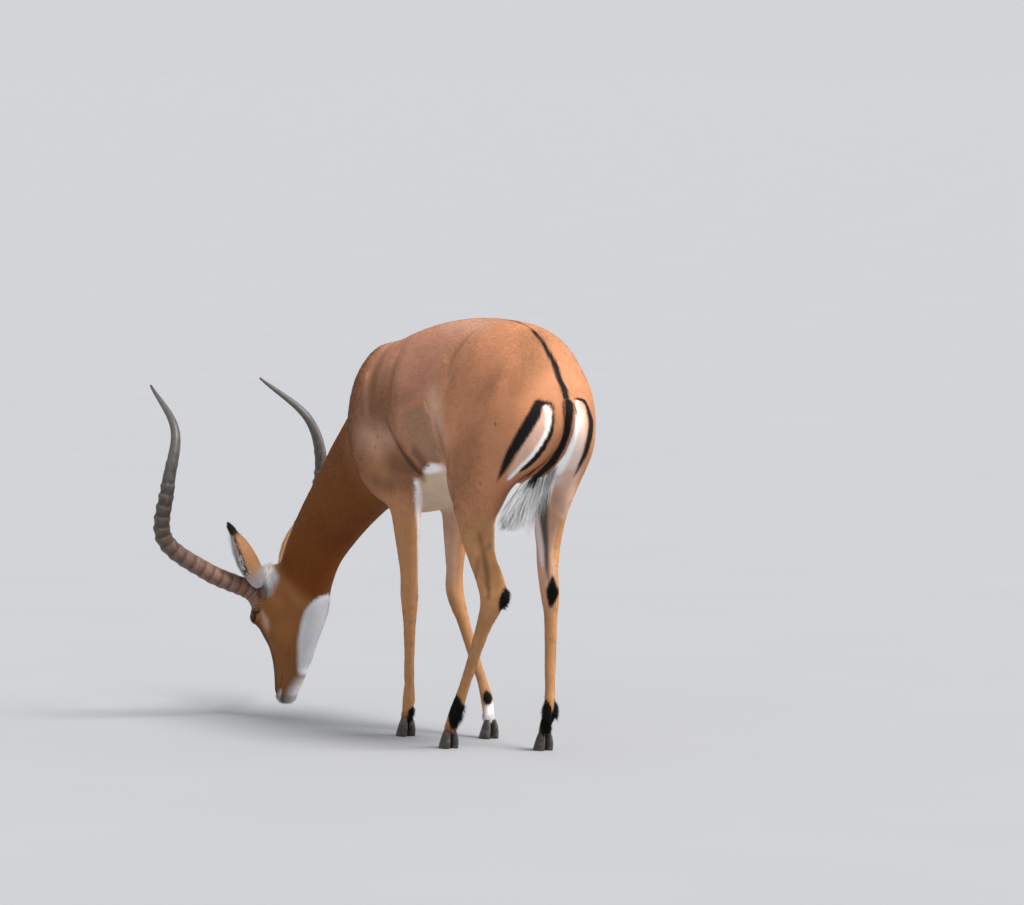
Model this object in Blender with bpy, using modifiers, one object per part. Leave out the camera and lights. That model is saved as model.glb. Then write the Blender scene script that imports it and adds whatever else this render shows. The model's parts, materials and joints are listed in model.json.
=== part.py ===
"""Impala ram, grazing: a still, life-size museum model in named solids.

Units are metres.  The animal faces -Y, its left side is +X and the floor is Z = 0.
It is shaped with the root of the tail over the origin, and at the end the finished
solids are moved level so that the middle of their box stands there.

The flesh is made the way a modeller works in clay: round forms for trunk, neck, head,
haunches, shoulders and limbs are laid over each other, fused, smoothed, made coarse
enough for plain solids, and then parted with thin cuts into head, neck, trunk, tail
and legs.  Horns, ears, eyes and hooves are made on their own and set against the flesh.
"""
import math

import bmesh
import bpy
import numpy as np
from mathutils import Matrix, Vector

# ---------------------------------------------------------------- driving dimensions
CROUP_HEIGHT = 0.940        # highest point of the back, over the loins
WITHERS_HEIGHT = 0.880      # top of the shoulder blades
TAIL_HEIGHT = 0.775         # root of the tail
CHEST_HALF = 0.122          # half the width of the rib cage
HIP_HALF = 0.135            # half the width over the haunches
HEAD_TURN = math.radians(20)    # the head looks this far to the animal's left
HEAD_BASE = Vector((0.140, -1.074, 0.289))  # midpoint between the two horn bases
EYE_RADIUS = 0.0165
EAR_LENGTH = 0.150
HORN_BASE_RADIUS = 0.021
HOOF_HEIGHT = 0.036

GAP = 0.0004                # clearance between solids that touch
CLAY = 0.006                # size of the cells in which the flesh is fused
FLESH_TRIANGLES = 4500      # budget of the fused flesh
RING_POINTS = 28            # corners of a cross-section

FORWARD = Vector((math.sin(HEAD_TURN), -math.cos(HEAD_TURN), 0.0))
LEFTWARD = Vector((math.cos(HEAD_TURN), math.sin(HEAD_TURN), 0.0))
UP = Vector((0.0, 0.0, 1.0))


def at_head(left, forward, up):
    """A place given from the midpoint of the horn bases, in the head's own directions."""
    return HEAD_BASE + LEFTWARD * left + FORWARD * forward + UP * up


# ---------------------------------------------------------------- scene helpers
def clear_scene():
    """Remove every object, so that the script gives the same result each time."""
    for obj in list(bpy.data.objects):
        bpy.data.objects.remove(obj, do_unlink=True)


def collection(name):
    """A collection of this name, linked to the scene."""
    group = bpy.data.collections.get(name) or bpy.data.collections.new(name)
    if group.name not in bpy.context.scene.collection.children:
        bpy.context.scene.collection.children.link(group)
    return group


def material(name, colour, roughness):
    """A plain finish for one kind of surface."""
    finish = bpy.data.materials.get(name) or bpy.data.materials.new(name)
    finish.use_nodes = True
    shader = finish.node_tree.nodes["Principled BSDF"]
    shader.inputs["Base Color"].default_value = (*colour, 1.0)
    shader.inputs["Roughness"].default_value = roughness
    return finish


def new_object(name, mesh, group, finish=None):
    """Put a mesh into a collection as a named object."""
    obj = bpy.data.objects.new(name, mesh)
    group.objects.link(obj)
    if finish is not None:
        mesh.materials.clear()
        mesh.materials.append(finish)
    return obj


def mesh_from_bmesh(name, shape):
    """Turn a bmesh into a mesh and free it."""
    mesh = bpy.data.meshes.new(name)
    shape.to_mesh(mesh)
    shape.free()
    return mesh


def evaluated_mesh(obj):
    """The mesh of an object with its modifiers applied."""
    depsgraph = bpy.context.evaluated_depsgraph_get()
    return bpy.data.meshes.new_from_object(obj.evaluated_get(depsgraph))


def apply_modifiers(obj):
    """Replace an object's mesh by its evaluated mesh."""
    bpy.context.view_layer.update()
    baked = evaluated_mesh(obj)
    obj.modifiers.clear()
    obj.data = baked
    return obj


# ---------------------------------------------------------------- lofted forms
def spline(rows, steps):
    """Rows of numbers joined by a smooth curve through all of them (Catmull-Rom)."""
    rows = np.asarray(rows, dtype=float)
    padded = np.vstack([2 * rows[0] - rows[1], rows, 2 * rows[-1] - rows[-2]])
    result = []
    for index in range(len(rows) - 1):
        before, start, end, after = padded[index:index + 4]
        for step in range(steps):
            t = step / steps
            result.append(0.5 * (2 * start + (end - before) * t
                                 + (2 * before - 5 * start + 4 * end - after) * t ** 2
                                 + (3 * start - before - 3 * end + after) * t ** 3))
    result.append(rows[-1])
    return np.array(result)


def ring(centre, side, rise, half, front, back, roundness, count):
    """Corners of one cross-section: an oval with unlike upper and lower halves."""
    corners = []
    for index in range(count):
        angle = 2 * math.pi * index / count
        cosine, sine = math.cos(angle), math.sin(angle)
        across = half * math.copysign(abs(cosine) ** (2 / roundness), cosine)
        depth = front if sine > 0 else back
        along = depth * math.copysign(abs(sine) ** (2 / roundness), sine)
        corners.append(centre + side * across + rise * along)
    return corners


def loft(stations, side_hint=(1, 0, 0), steps=4, roundness=2.0, close=0.5, points=RING_POINTS):
    """A closed form over stations of (x, y, z, half width, front depth, back depth).

    The section stands square to the path.  Its width lies along side_hint, and its
    front points up on the trunk and forwards on a limb.  Both ends are rounded off
    over a length of close times their depth.
    """
    rows = spline(stations, steps)
    places = [Vector(row[:3]) for row in rows]
    last = len(rows) - 1
    shape = bmesh.new()
    rings = []
    for index, row in enumerate(rows):
        tangent = (places[min(index + 1, last)] - places[max(index - 1, 0)]).normalized()
        side = Vector(side_hint)
        side = (side - tangent * side.dot(tangent)).normalized()
        rise = tangent.cross(side)
        sections = [(places[index], 1.0)]
        if close and index in (0, last):
            outward = tangent if index else -tangent
            bulge = close * min(row[3], row[4] + row[5])
            for part in (0.92, 0.72, 0.40):
                cap_centre = places[index] + outward * bulge * math.sqrt(1 - part ** 2)
                sections.append((cap_centre, part))
        if index == 0:
            sections.reverse()
        for centre, part in sections:
            sizes = [size * part for size in row[3:6]]
            corners = ring(centre, side, rise, *sizes, roundness, points)
            rings.append([shape.verts.new(corner) for corner in corners])
    for first, second in zip(rings, rings[1:]):
        for index in range(points):
            after = (index + 1) % points
            shape.faces.new((first[index], first[after], second[after], second[index]))
    shape.faces.new(list(reversed(rings[0])))
    shape.faces.new(rings[-1])
    bmesh.ops.recalc_face_normals(shape, faces=shape.faces)
    return shape


def ball(centre, radii, turn=None):
    """An oval ball of clay."""
    shape = bmesh.new()
    bmesh.ops.create_uvsphere(shape, u_segments=24, v_segments=14, radius=1.0)
    matrix = Matrix.Diagonal((*radii, 1.0))
    if turn is not None:
        matrix = turn.to_4x4() @ matrix
    bmesh.ops.transform(shape, matrix=Matrix.Translation(centre) @ matrix, verts=shape.verts)
    return shape


# ---------------------------------------------------------------- the forms of the flesh
def trunk_clay():
    """Rib cage, loins and croup, from the seat forwards to the breast."""
    croup, withers = CROUP_HEIGHT, WITHERS_HEIGHT
    stations = [
        # x, y, z, half width, height above z, depth below z
        (0, -0.016, 0.735, 0.066, TAIL_HEIGHT + 0.036 - 0.735, 0.055),
        (0, -0.045, 0.730, 0.100, 0.134, 0.085),
        (0, -0.088, 0.728, 0.119, 0.164, 0.120),
        (0, -0.145, 0.732, HIP_HALF - 0.008, croup - 0.014 - 0.732, 0.138),
        (0, -0.250, 0.735, HIP_HALF - 0.008, croup - 0.735, 0.158),
        (0, -0.370, 0.725, CHEST_HALF - 0.003, croup - 0.003 - 0.725, 0.178),
        (0, -0.490, 0.705, CHEST_HALF, croup - 0.022 - 0.705, 0.188),
        (0, -0.600, 0.690, CHEST_HALF - 0.002, withers + 0.010 - 0.690, 0.198),
        (0, -0.690, 0.685, CHEST_HALF - 0.020, withers - 0.014 - 0.685, 0.188),
        (0, -0.750, 0.665, CHEST_HALF - 0.048, withers - 0.088 - 0.665, 0.145),
    ]
    breast = ball((0.010, -0.705, 0.550), (0.065, 0.065, 0.055))
    return [loft(stations, roundness=2.15, close=0.5), breast]


def neck_clay():
    """The neck bends down and to the left from the withers to the throat."""
    stations = [
        (0.000, -0.650, 0.700, 0.090, 0.155, 0.165),
        (0.014, -0.735, 0.632, 0.080, 0.121, 0.126),
        (0.034, -0.800, 0.563, 0.069, 0.107, 0.103),
        (0.053, -0.864, 0.492, 0.060, 0.091, 0.088),
        (0.069, -0.912, 0.430, 0.055, 0.082, 0.080),
        (0.082, -0.944, 0.372, 0.052, 0.075, 0.073),
        (0.093, -0.962, 0.310, 0.050, 0.068, 0.073),
        (0.100, -0.968, 0.250, 0.046, 0.060, 0.074),
        (0.106, -0.978, 0.190, 0.036, 0.050, 0.062),
    ]
    return [loft(stations, side_hint=(0.96, 0.28, 0))]


def head_clay():
    """Skull and muzzle with cheeks, brows and the stumps that carry the ears."""
    profile = [
        # forward, up, half width, depth in front, depth behind
        (-0.046, 0.052, 0.026, 0.024, 0.030),
        (-0.048, 0.030, 0.044, 0.040, 0.045),
        (-0.052, -0.005, 0.051, 0.052, 0.060),
        (-0.064, -0.050, 0.050, 0.066, 0.086),
        (-0.080, -0.092, 0.041, 0.066, 0.088),
        (-0.084, -0.137, 0.032, 0.051, 0.066),
        (-0.080, -0.187, 0.0265, 0.038, 0.047),
        (-0.074, -0.222, 0.0250, 0.030, 0.033),
        (-0.071, -0.240, 0.0230, 0.024, 0.025),
    ]
    stations = [(*at_head(0, forward, up), *sizes) for forward, up, *sizes in profile]
    forms = [loft(stations, side_hint=LEFTWARD, close=0.5)]
    turn = Matrix.Rotation(HEAD_TURN, 3, "Z")
    forms.append(ball(at_head(0, -0.020, -0.032), (0.040, 0.023, 0.048), turn))
    for side in (1, -1):
        forms.append(ball(at_head(side * 0.030, -0.095, -0.095), (0.018, 0.042, 0.046), turn))
        forms.append(ball(at_head(side * 0.031, -0.019, -0.051), (0.0190, 0.025, 0.030), turn))
        forms.append(ball(at_head(side * 0.038, -0.040, 0.036), (0.020, 0.020, 0.020), turn))
    return forms


def hind_leg_clay(side, thigh, gaskin, hock, heel, foot):
    """Haunch, gaskin, hock and cannon of one hind leg.

    thigh, gaskin, hock, heel and foot are the (x, y) of the leg at the stifle, halfway
    down to the hock, at the hock, at its rear point and at the fetlock; the third number
    of thigh and of hock is its bulk.
    """
    hock_x, hock_y, breadth = hock
    heel_x, heel_y = heel
    foot_x, foot_y = foot
    thigh_x, thigh_y, bulk = thigh

    def cannon(part, drop):
        """A place a given part of the way from hock to fetlock, at height drop."""
        top_y = hock_y + 0.012
        return (hock_x + (foot_x - hock_x) * part, top_y + (foot_y - top_y) * part, drop)

    joints = [
        (side * 0.052, -0.125, 0.840, 0.045, 0.070, 0.070),
        (side * 0.070, -0.138, 0.760, 0.059, 0.130, 0.118),
        (side * 0.083, -0.168, 0.680, 0.054, 0.145, 0.112),
        (thigh_x, thigh_y + 0.006, 0.600, 0.048 * bulk, 0.112 * bulk, 0.095),
        (thigh_x, thigh_y, 0.540, 0.040 * bulk, 0.078 * bulk, 0.066),
        (*gaskin, 0.460, 0.029 * bulk, 0.042 * bulk, 0.040),
        ((gaskin[0] + hock_x) / 2, (gaskin[1] + hock_y) / 2 - 0.004, 0.405, 0.021, 0.028, 0.036),
        (hock_x, hock_y - 0.002, 0.362, 0.0190 * breadth, 0.029 * breadth, 0.038),
        (*cannon(0.00, 0.330), 0.0195 * breadth, 0.037 * breadth, 0.030),
        (*cannon(0.17, 0.292), 0.0165 * breadth, 0.023 * breadth, 0.024),
        (*cannon(0.54, 0.200), 0.0130, 0.0150, 0.0185),
        (*cannon(0.84, 0.125), 0.0130, 0.0145, 0.0175),
        (*cannon(1.00, 0.085), 0.0165, 0.0175, 0.0195),
        (foot_x + side * 0.001, foot_y - 0.018, 0.057, 0.0150, 0.0145, 0.0150),
        (foot_x + side * 0.002, foot_y - 0.027, 0.038, 0.0170, 0.0155, 0.0155),
    ]
    tendon = [
        (thigh_x * 0.9 + hock_x * 0.1, thigh_y + 0.050, 0.530, 0.017, 0.022, 0.022),
        ((gaskin[0] + heel_x) / 2, (gaskin[1] + heel_y) / 2, 0.440, 0.0100, 0.013, 0.014),
        (heel_x, heel_y - 0.002, 0.372, 0.0090, 0.011, 0.010),
    ]
    spur = [
        (heel_x, heel_y, 0.362, 0.0110, 0.012, 0.010),
        ((hock_x + heel_x) / 2, heel_y - 0.014, 0.330, 0.0120, 0.020, 0.014),
        (*cannon(0.17, 0.288), 0.0115, 0.010, 0.024),
    ]
    seat = [
        (side * 0.046, -0.044, 0.750, 0.042, 0.060, 0.048),
        (side * 0.060, -0.062, 0.680, 0.045, 0.075, 0.050),
        (thigh_x * 0.88, thigh_y + 0.090, 0.600, 0.035, 0.060, 0.034),
        (thigh_x * 0.93, thigh_y + 0.062, 0.535, 0.022, 0.040, 0.022),
    ]
    return [loft(joints, close=0.3), loft(tendon), loft(spur), loft(seat)]


def foreleg_clay(side, elbow, knee, foot, toe):
    """Shoulder blade, upper arm, forearm, knee and cannon of one foreleg.

    elbow, knee and foot are the (x, y) of the leg at those joints, and toe is how far
    the hoof stands in front of the fetlock.
    """
    elbow_x, elbow_y = elbow
    knee_x, knee_y = knee
    foot_x, foot_y = foot

    def forearm(part, drop):
        """A place a given part of the way from elbow to knee, at height drop."""
        return (elbow_x + (knee_x - elbow_x) * part, elbow_y + (knee_y - elbow_y) * part, drop)

    def cannon(part, drop):
        """A place a given part of the way from knee to fetlock, at height drop."""
        return (knee_x + (foot_x - knee_x) * part, knee_y + (foot_y - knee_y) * part, drop)

    blade = [
        (side * 0.040, -0.678, WITHERS_HEIGHT - 0.022, 0.017, 0.042, 0.050),
        (side * 0.072, -0.686, 0.790, 0.026, 0.068, 0.078),
        (side * 0.086, -0.694, 0.700, 0.031, 0.075, 0.088),
        (side * 0.088, -0.690, 0.625, 0.034, 0.062, 0.088),
    ]
    arm = [
        (side * 0.087, -0.705, 0.660, 0.034, 0.050, 0.065),
        (side * 0.090, -0.650, 0.600, 0.035, 0.064, 0.062),
        (elbow_x, elbow_y - 0.020, 0.555, 0.034, 0.055, 0.050),
    ]
    joints = [
        (elbow_x - side * 0.010, elbow_y - 0.010, 0.630, 0.018, 0.040, 0.034),
        (*forearm(0.00, 0.550), 0.034, 0.054, 0.052),
        (*forearm(0.25, 0.500), 0.031, 0.041, 0.041),
        (*forearm(0.60, 0.430), 0.0250, 0.031, 0.031),
        (*forearm(0.88, 0.365), 0.0195, 0.0235, 0.0235),
        (knee_x, knee_y, 0.322, 0.0210, 0.0250, 0.0215),
        (*cannon(0.10, 0.290), 0.0190, 0.0215, 0.0205),
        (*cannon(0.27, 0.250), 0.0150, 0.0165, 0.0185),
        (*cannon(0.62, 0.170), 0.0130, 0.0145, 0.0170),
        (*cannon(0.86, 0.118), 0.0130, 0.0145, 0.0165),
        (*cannon(1.00, 0.084), 0.0160, 0.0170, 0.0190),
        (foot_x, foot_y - toe * 0.6, 0.057, 0.0145, 0.0140, 0.0145),
        (foot_x, foot_y - toe, 0.038, 0.0165, 0.0150, 0.0150),
    ]
    triceps = ball((side * 0.080, (elbow_y - 0.690) / 2 + 0.010, 0.628), (0.038, 0.085, 0.075))
    return [loft(blade), loft(arm), triceps, loft(joints, close=0.3)]


def flesh_clay():
    """All forms of the flesh, still as separate overlapping pieces of clay."""
    forms = trunk_clay() + neck_clay() + head_clay()
    forms += hind_leg_clay(
        1, (0.094, -0.220, 1.0), (0.084, -0.228), (0.080, -0.188, 1.0), (0.070, -0.136), (0.086, -0.312))
    forms += hind_leg_clay(
        -1, (-0.088, -0.210, 0.86), (-0.084, -0.207), (-0.070, -0.188, 0.84), (-0.069, -0.150), (-0.064, -0.170))
    forms += foreleg_clay(1, (0.086, -0.528), (0.063, -0.546), (0.051, -0.570), 0.012)
    forms += foreleg_clay(-1, (-0.080, -0.580), (-0.075, -0.582), (-0.080, -0.452), -0.008)
    return forms


# ---------------------------------------------------------------- fusing and parting
def calm(places):
    """How strongly each place is smoothed: fully on the trunk, gently on limbs and head."""
    from_head = np.linalg.norm(places - np.array(HEAD_BASE) + np.array((0.02, -0.06, 0.09)), axis=1)
    on_limb = np.clip((0.56 - places[:, 2]) / 0.08, 0, 1) * (places[:, 1] > -0.70)
    on_head = np.clip((0.20 - from_head) / 0.05, 0, 1)
    return 1 - 0.75 * np.maximum(on_limb, on_head)


def smooth(mesh, rounds):
    """Draw each corner towards the mean of its neighbours, a few times over."""
    count = len(mesh.vertices)
    places = np.empty(count * 3)
    mesh.vertices.foreach_get("co", places)
    places = places.reshape(-1, 3)
    edges = np.empty(len(mesh.edges) * 2, dtype=int)
    mesh.edges.foreach_get("vertices", edges)
    edges = edges.reshape(-1, 2)
    neighbours = np.bincount(edges.ravel(), minlength=count)[:, None]
    strength = 0.5 * calm(places)[:, None]
    for _ in range(rounds):
        total = np.zeros_like(places)
        np.add.at(total, edges[:, 0], places[edges[:, 1]])
        np.add.at(total, edges[:, 1], places[edges[:, 0]])
        places += strength * (total / neighbours - places)
    mesh.vertices.foreach_set("co", places.ravel())
    mesh.update()


def fuse(forms, group):
    """Fuse overlapping clay forms into one smooth closed body of few triangles."""
    joined = bmesh.new()
    for form in forms:
        joined.from_mesh(mesh_from_bmesh("form", form))
    body = new_object("flesh", mesh_from_bmesh("flesh", joined), group)
    remesh = body.modifiers.new("fuse", "REMESH")
    remesh.mode = "VOXEL"
    remesh.voxel_size = CLAY
    apply_modifiers(body)
    smooth(body.data, 30)
    coarse = body.modifiers.new("coarse", "DECIMATE")
    coarse.ratio = FLESH_TRIANGLES / (2 * len(body.data.polygons))
    coarse.use_collapse_triangulate = True
    return apply_modifiers(body)


def slab(name, centre, across, along, half_across, half_along, group):
    """A thin plate that parts the flesh, spanned by two directions."""
    across = Vector(across).normalized()
    normal = across.cross(Vector(along)).normalized()
    along = normal.cross(across)
    turn = Matrix((across, along, normal)).transposed().to_4x4()
    shape = bmesh.new()
    bmesh.ops.create_cube(shape, size=2.0)
    sizes = Matrix.Diagonal((half_across, half_along, GAP, 1.0))
    bmesh.ops.transform(shape, matrix=Matrix.Translation(centre) @ turn @ sizes, verts=shape.verts)
    plate = new_object(name, mesh_from_bmesh(name, shape), group)
    plate.hide_render = True
    plate.display_type = "WIRE"
    return plate


def cut(body, cutter, operation="DIFFERENCE"):
    """Cut a body with another and keep the result as its mesh."""
    boolean = body.modifiers.new("cut", "BOOLEAN")
    boolean.operation = operation
    boolean.object = cutter
    boolean.solver = "EXACT"
    return apply_modifiers(body)


def parting_slabs(group):
    """The thin cuts: nape, neck, forelegs and hind legs."""
    nape = at_head(0, -0.045, 0.075)
    throat = at_head(0, -0.200, -0.040)
    breast_top = Vector((0.015, -0.815, 0.850))
    breast_foot = Vector((0.018, -0.705, 0.440))
    flank = Vector((0, -0.380, 0.520))
    seat = Vector((0, 0.060, 0.625))
    return [
        slab("cut_nape", (nape + throat) / 2, LEFTWARD, throat - nape,
             0.10, (throat - nape).length / 2, group),
        slab("cut_neck", (breast_top + breast_foot) / 2, (1, 0.1, 0), breast_foot - breast_top,
             0.16, (breast_foot - breast_top).length / 2, group),
        slab("cut_forelegs", Vector((0, -0.545, 0.480)), (1, 0, 0), (0, 1, 0), 0.16, 0.115, group),
        slab("cut_hind_legs", (flank + seat) / 2, (1, 0, 0), seat - flank,
             0.20, (seat - flank).length / 2, group),
    ]


def islands(mesh):
    """The separate closed bodies of a mesh, each as a list of vertex indices."""
    parent = list(range(len(mesh.vertices)))

    def root(index):
        while parent[index] != index:
            parent[index] = parent[parent[index]]
            index = parent[index]
        return index

    for edge in mesh.edges:
        first, second = (root(index) for index in edge.vertices)
        parent[first] = second
    groups = {}
    for index in range(len(mesh.vertices)):
        groups.setdefault(root(index), []).append(index)
    return list(groups.values())


def part_flesh(body, seeds, group, finish):
    """Split the cut flesh into named objects: each name has a place inside its piece."""
    pieces = islands(body.data)
    objects = {}
    for name, seed in seeds.items():
        def distance(piece):
            return min((body.data.vertices[index].co - Vector(seed)).length for index in piece)
        piece = set(min(pieces, key=distance))
        shape = bmesh.new()
        shape.from_mesh(body.data)
        spare = [vertex for vertex in shape.verts if vertex.index not in piece]
        bmesh.ops.delete(shape, geom=spare, context="VERTS")
        objects[name] = new_object(name, mesh_from_bmesh(name, shape), group, finish)
    return objects, len(pieces)


def swollen(body, distance, group):
    """A copy of a body, a little fatter: what is cut with it keeps that clearance."""
    mesh = body.data.copy()
    normals = [vertex.normal.copy() for vertex in mesh.vertices]
    for vertex, normal in zip(mesh.vertices, normals):
        vertex.co += normal * distance
    copy = new_object("swollen_" + body.name, mesh, group)
    copy.hide_render = True
    copy.display_type = "WIRE"
    return copy


# ---------------------------------------------------------------- horns, ears, eyes, tail, hooves
def horn(name, side, group, finish):
    """A lyre-shaped horn: ringed two thirds of its length, then smooth to a fine point."""
    route = [
        # left, forward, up from the midpoint of the horn bases
        (0.024, -0.020, -0.030),
        (0.048, -0.008, 0.004),
        (0.148, 0.034, 0.052),
        (0.250, 0.072, 0.132),
        (0.268, 0.045, 0.252),
        (0.234, 0.053, 0.375),
        (0.190, 0.164, 0.470),
    ]
    steps = 44
    path = spline(route, 20)
    rows = []
    for index in range(steps + 1):
        along = index / steps
        left, forward, up = path[round(along * (len(path) - 1))]
        taper = (1 - along ** 2.4) ** 0.85
        radius = 0.0025 + (HORN_BASE_RADIUS - 0.0025) * taper
        ringed = along < 0.68
        if ringed and index % 2:
            radius *= 1.06 + 0.10 * along
        rows.append((*at_head(side * left, forward, up), radius, radius * 1.05, radius * 1.05))
    shape = loft(rows, side_hint=FORWARD, steps=1, close=0.8, points=8)
    return new_object(name, mesh_from_bmesh(name, shape), group, finish)


def ear(name, side, group, finish):
    """A cupped leaf with a tubular root, opening outwards and forwards."""
    root = at_head(side * 0.040, -0.036, 0.040)
    tip = at_head(side * 0.131, -0.018, 0.160)
    axis = (tip - root).normalized()
    opening = LEFTWARD * side * 0.59 + FORWARD * 0.57 - UP * 0.57
    opening = (opening - axis * opening.dot(axis)).normalized()
    across = axis.cross(opening)
    rows, columns = 8, 6
    shape = bmesh.new()
    grid = []
    for row in range(rows + 1):
        along = row / rows
        half = 0.0035 + 0.0275 * math.sin(math.pi * min(1.0, 0.13 + 0.87 * along) ** 1.15) ** 0.66
        curl = math.radians(155 - 95 * along)
        line = []
        for column in range(columns + 1):
            swing = curl * (2 * column / columns - 1)
            bend = half / math.sin(min(curl, math.pi / 2)) if curl < math.pi / 2 else half
            place = root + axis * EAR_LENGTH * along + across * bend * math.sin(swing)
            place += opening * (bend - bend * math.cos(swing) - 0.012 * math.sin(math.pi * along))
            line.append(shape.verts.new(place))
        grid.append(line)
    for first, second in zip(grid, grid[1:]):
        for column in range(columns):
            shape.faces.new((first[column], first[column + 1], second[column + 1], second[column]))
    obj = new_object(name, mesh_from_bmesh(name, shape), group, finish)
    wall = obj.modifiers.new("wall", "SOLIDIFY")
    wall.thickness = 0.0022
    wall.offset = 0.0
    return apply_modifiers(obj)


def tail_clay():
    """The short tail hangs into the cleft of the thighs and ends in a long tuft."""
    stations = [
        (0.000, -0.010, 0.774, 0.012, 0.010, 0.008),
        (0.000, 0.014, 0.756, 0.015, 0.010, 0.010),
        (0.000, 0.016, 0.716, 0.016, 0.011, 0.010),
        (0.002, -0.010, 0.672, 0.016, 0.011, 0.010),
        (0.015, -0.044, 0.632, 0.018, 0.013, 0.012),
        (0.034, -0.074, 0.597, 0.027, 0.016, 0.015),
        (0.050, -0.093, 0.560, 0.034, 0.017, 0.016),
        (0.059, -0.106, 0.525, 0.028, 0.014, 0.014),
        (0.062, -0.112, 0.503, 0.012, 0.008, 0.008),
    ]
    return loft(stations, points=10, steps=2)


def claw(name, x, y, inward, group, finish):
    """One half of a cloven hoof, standing on its flat sole."""
    stations = [
        (x, y + 0.006, HOOF_HEIGHT + 0.006, 0.0078, 0.010, 0.011),
        (x, y + 0.003, HOOF_HEIGHT * 0.60, 0.0092, 0.017, 0.016),
        (x, y, 0.0, 0.0098, 0.030, 0.019),
    ]
    shape = loft(stations, steps=1, close=0, points=10)
    lean = 0.16 * inward
    for vertex in shape.verts:
        ahead = y - vertex.co.y
        vertex.co.x += lean * max(ahead, 0)
        if vertex.co.z < HOOF_HEIGHT / 4:
            vertex.co.z = 0.0
    return new_object(name, mesh_from_bmesh(name, shape), group, finish)


def eye(name, side, group, finish):
    """An eyeball, set into the side of the head."""
    shape = bmesh.new()
    bmesh.ops.create_uvsphere(shape, u_segments=10, v_segments=7, radius=EYE_RADIUS)
    bmesh.ops.translate(shape, vec=at_head(side * 0.0370, -0.020, -0.057), verts=shape.verts)
    return new_object(name, mesh_from_bmesh(name, shape), group, finish)


# ---------------------------------------------------------------- the whole animal
SEEDS = {
    "trunk": (0.0, -0.40, CROUP_HEIGHT),
    "neck": (0.07, -0.91, 0.43),
    "head": tuple(at_head(0, -0.03, -0.15)),
    "foreleg_left": (0.058, -0.556, 0.20),
    "foreleg_right": (-0.077, -0.545, 0.24),
    "hind_leg_left": (0.080, -0.24, 0.22),
    "hind_leg_right": (-0.065, -0.18, 0.22),
}
FEET = {
    # x, y of the middle of the foot on the floor
    "fore_left": (0.051, -0.584),
    "fore_right": (-0.080, -0.446),
    "hind_left": (0.088, -0.341),
    "hind_right": (-0.066, -0.199),
}


def main():
    """Build every solid of the model."""
    clear_scene()
    group = collection("impala_ram")
    cutters = collection("cutters")
    coat = material("coat", (0.50, 0.27, 0.14), 0.75)
    horn_finish = material("horn", (0.09, 0.07, 0.06), 0.45)
    hoof_finish = material("hoof", (0.03, 0.028, 0.026), 0.5)
    eye_finish = material("eye", (0.012, 0.008, 0.006), 0.08)
    ear_finish = material("ear", (0.45, 0.30, 0.20), 0.8)
    tail_finish = material("tail", (0.75, 0.70, 0.65), 0.8)

    flesh = fuse(flesh_clay(), cutters)
    fat_flesh = swollen(flesh, 1.6 * GAP, cutters)

    for label, side in (("left", 1), ("right", -1)):
        ball_in_socket = eye("eye_" + label, side, group, eye_finish)
        cut(flesh, swollen(ball_in_socket, 1.6 * GAP, cutters))
        spike = horn("horn_" + label, side, group, horn_finish)
        leaf = ear("ear_" + label, side, group, ear_finish)
        cut(leaf, swollen(spike, 1.6 * GAP, cutters))
        for piece in (spike, leaf):
            cut(piece, fat_flesh)
            keep_largest(piece)

    tail = new_object("tail", mesh_from_bmesh("tail", tail_clay()), group, tail_finish)
    cut(tail, fat_flesh)
    keep_largest(tail)

    for foot, (x, y) in FEET.items():
        for half, offset in (("outer", 1), ("inner", -1)):
            outward = offset * (1 if x > 0 else -1)
            piece = claw(f"hoof_{foot}_{half}", x + outward * 0.0108, y, -outward, group, hoof_finish)
            cut(piece, fat_flesh)
            keep_largest(piece)

    for plate in parting_slabs(cutters):
        cut(flesh, plate)
    objects, pieces = part_flesh(flesh, SEEDS, group, coat)
    print("flesh pieces", pieces, "named", len(objects))
    flesh.hide_render = True
    flesh.display_type = "WIRE"
    centre_on_floor(group.objects)


def centre_on_floor(objects):
    """Slide the finished solids level, until the middle of their box is over the origin."""
    corners = np.vstack([np.array([vertex.co for vertex in obj.data.vertices]) for obj in objects])
    middle = (corners.min(axis=0) + corners.max(axis=0)) / 2
    slide = Matrix.Translation((-middle[0], -middle[1], 0))
    for obj in objects:
        obj.data.transform(slide)
    print("moved by", -middle[0], -middle[1])


def keep_largest(obj):
    """Drop the crumbs that a cut leaves inside the neighbouring body."""
    pieces = islands(obj.data)
    largest = set(max(pieces, key=len))
    shape = bmesh.new()
    shape.from_mesh(obj.data)
    spare = [vertex for vertex in shape.verts if vertex.index not in largest]
    bmesh.ops.delete(shape, geom=spare, context="VERTS")
    shape.to_mesh(obj.data)
    shape.free()


if __name__ == "__main__":
    main()
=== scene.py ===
# %% [markdown]
# # A grazing impala ram, life size
# This notebook dresses the plain solids of a standing model with skin, coat, horns, ears,
# eyes, hooves and tail.  The solids come in as a fixed frame.  Each step first says what the
# piece is on the living animal, then how it could be made, and why it is made this way.

# %% Load the frame
import json
import math

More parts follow.
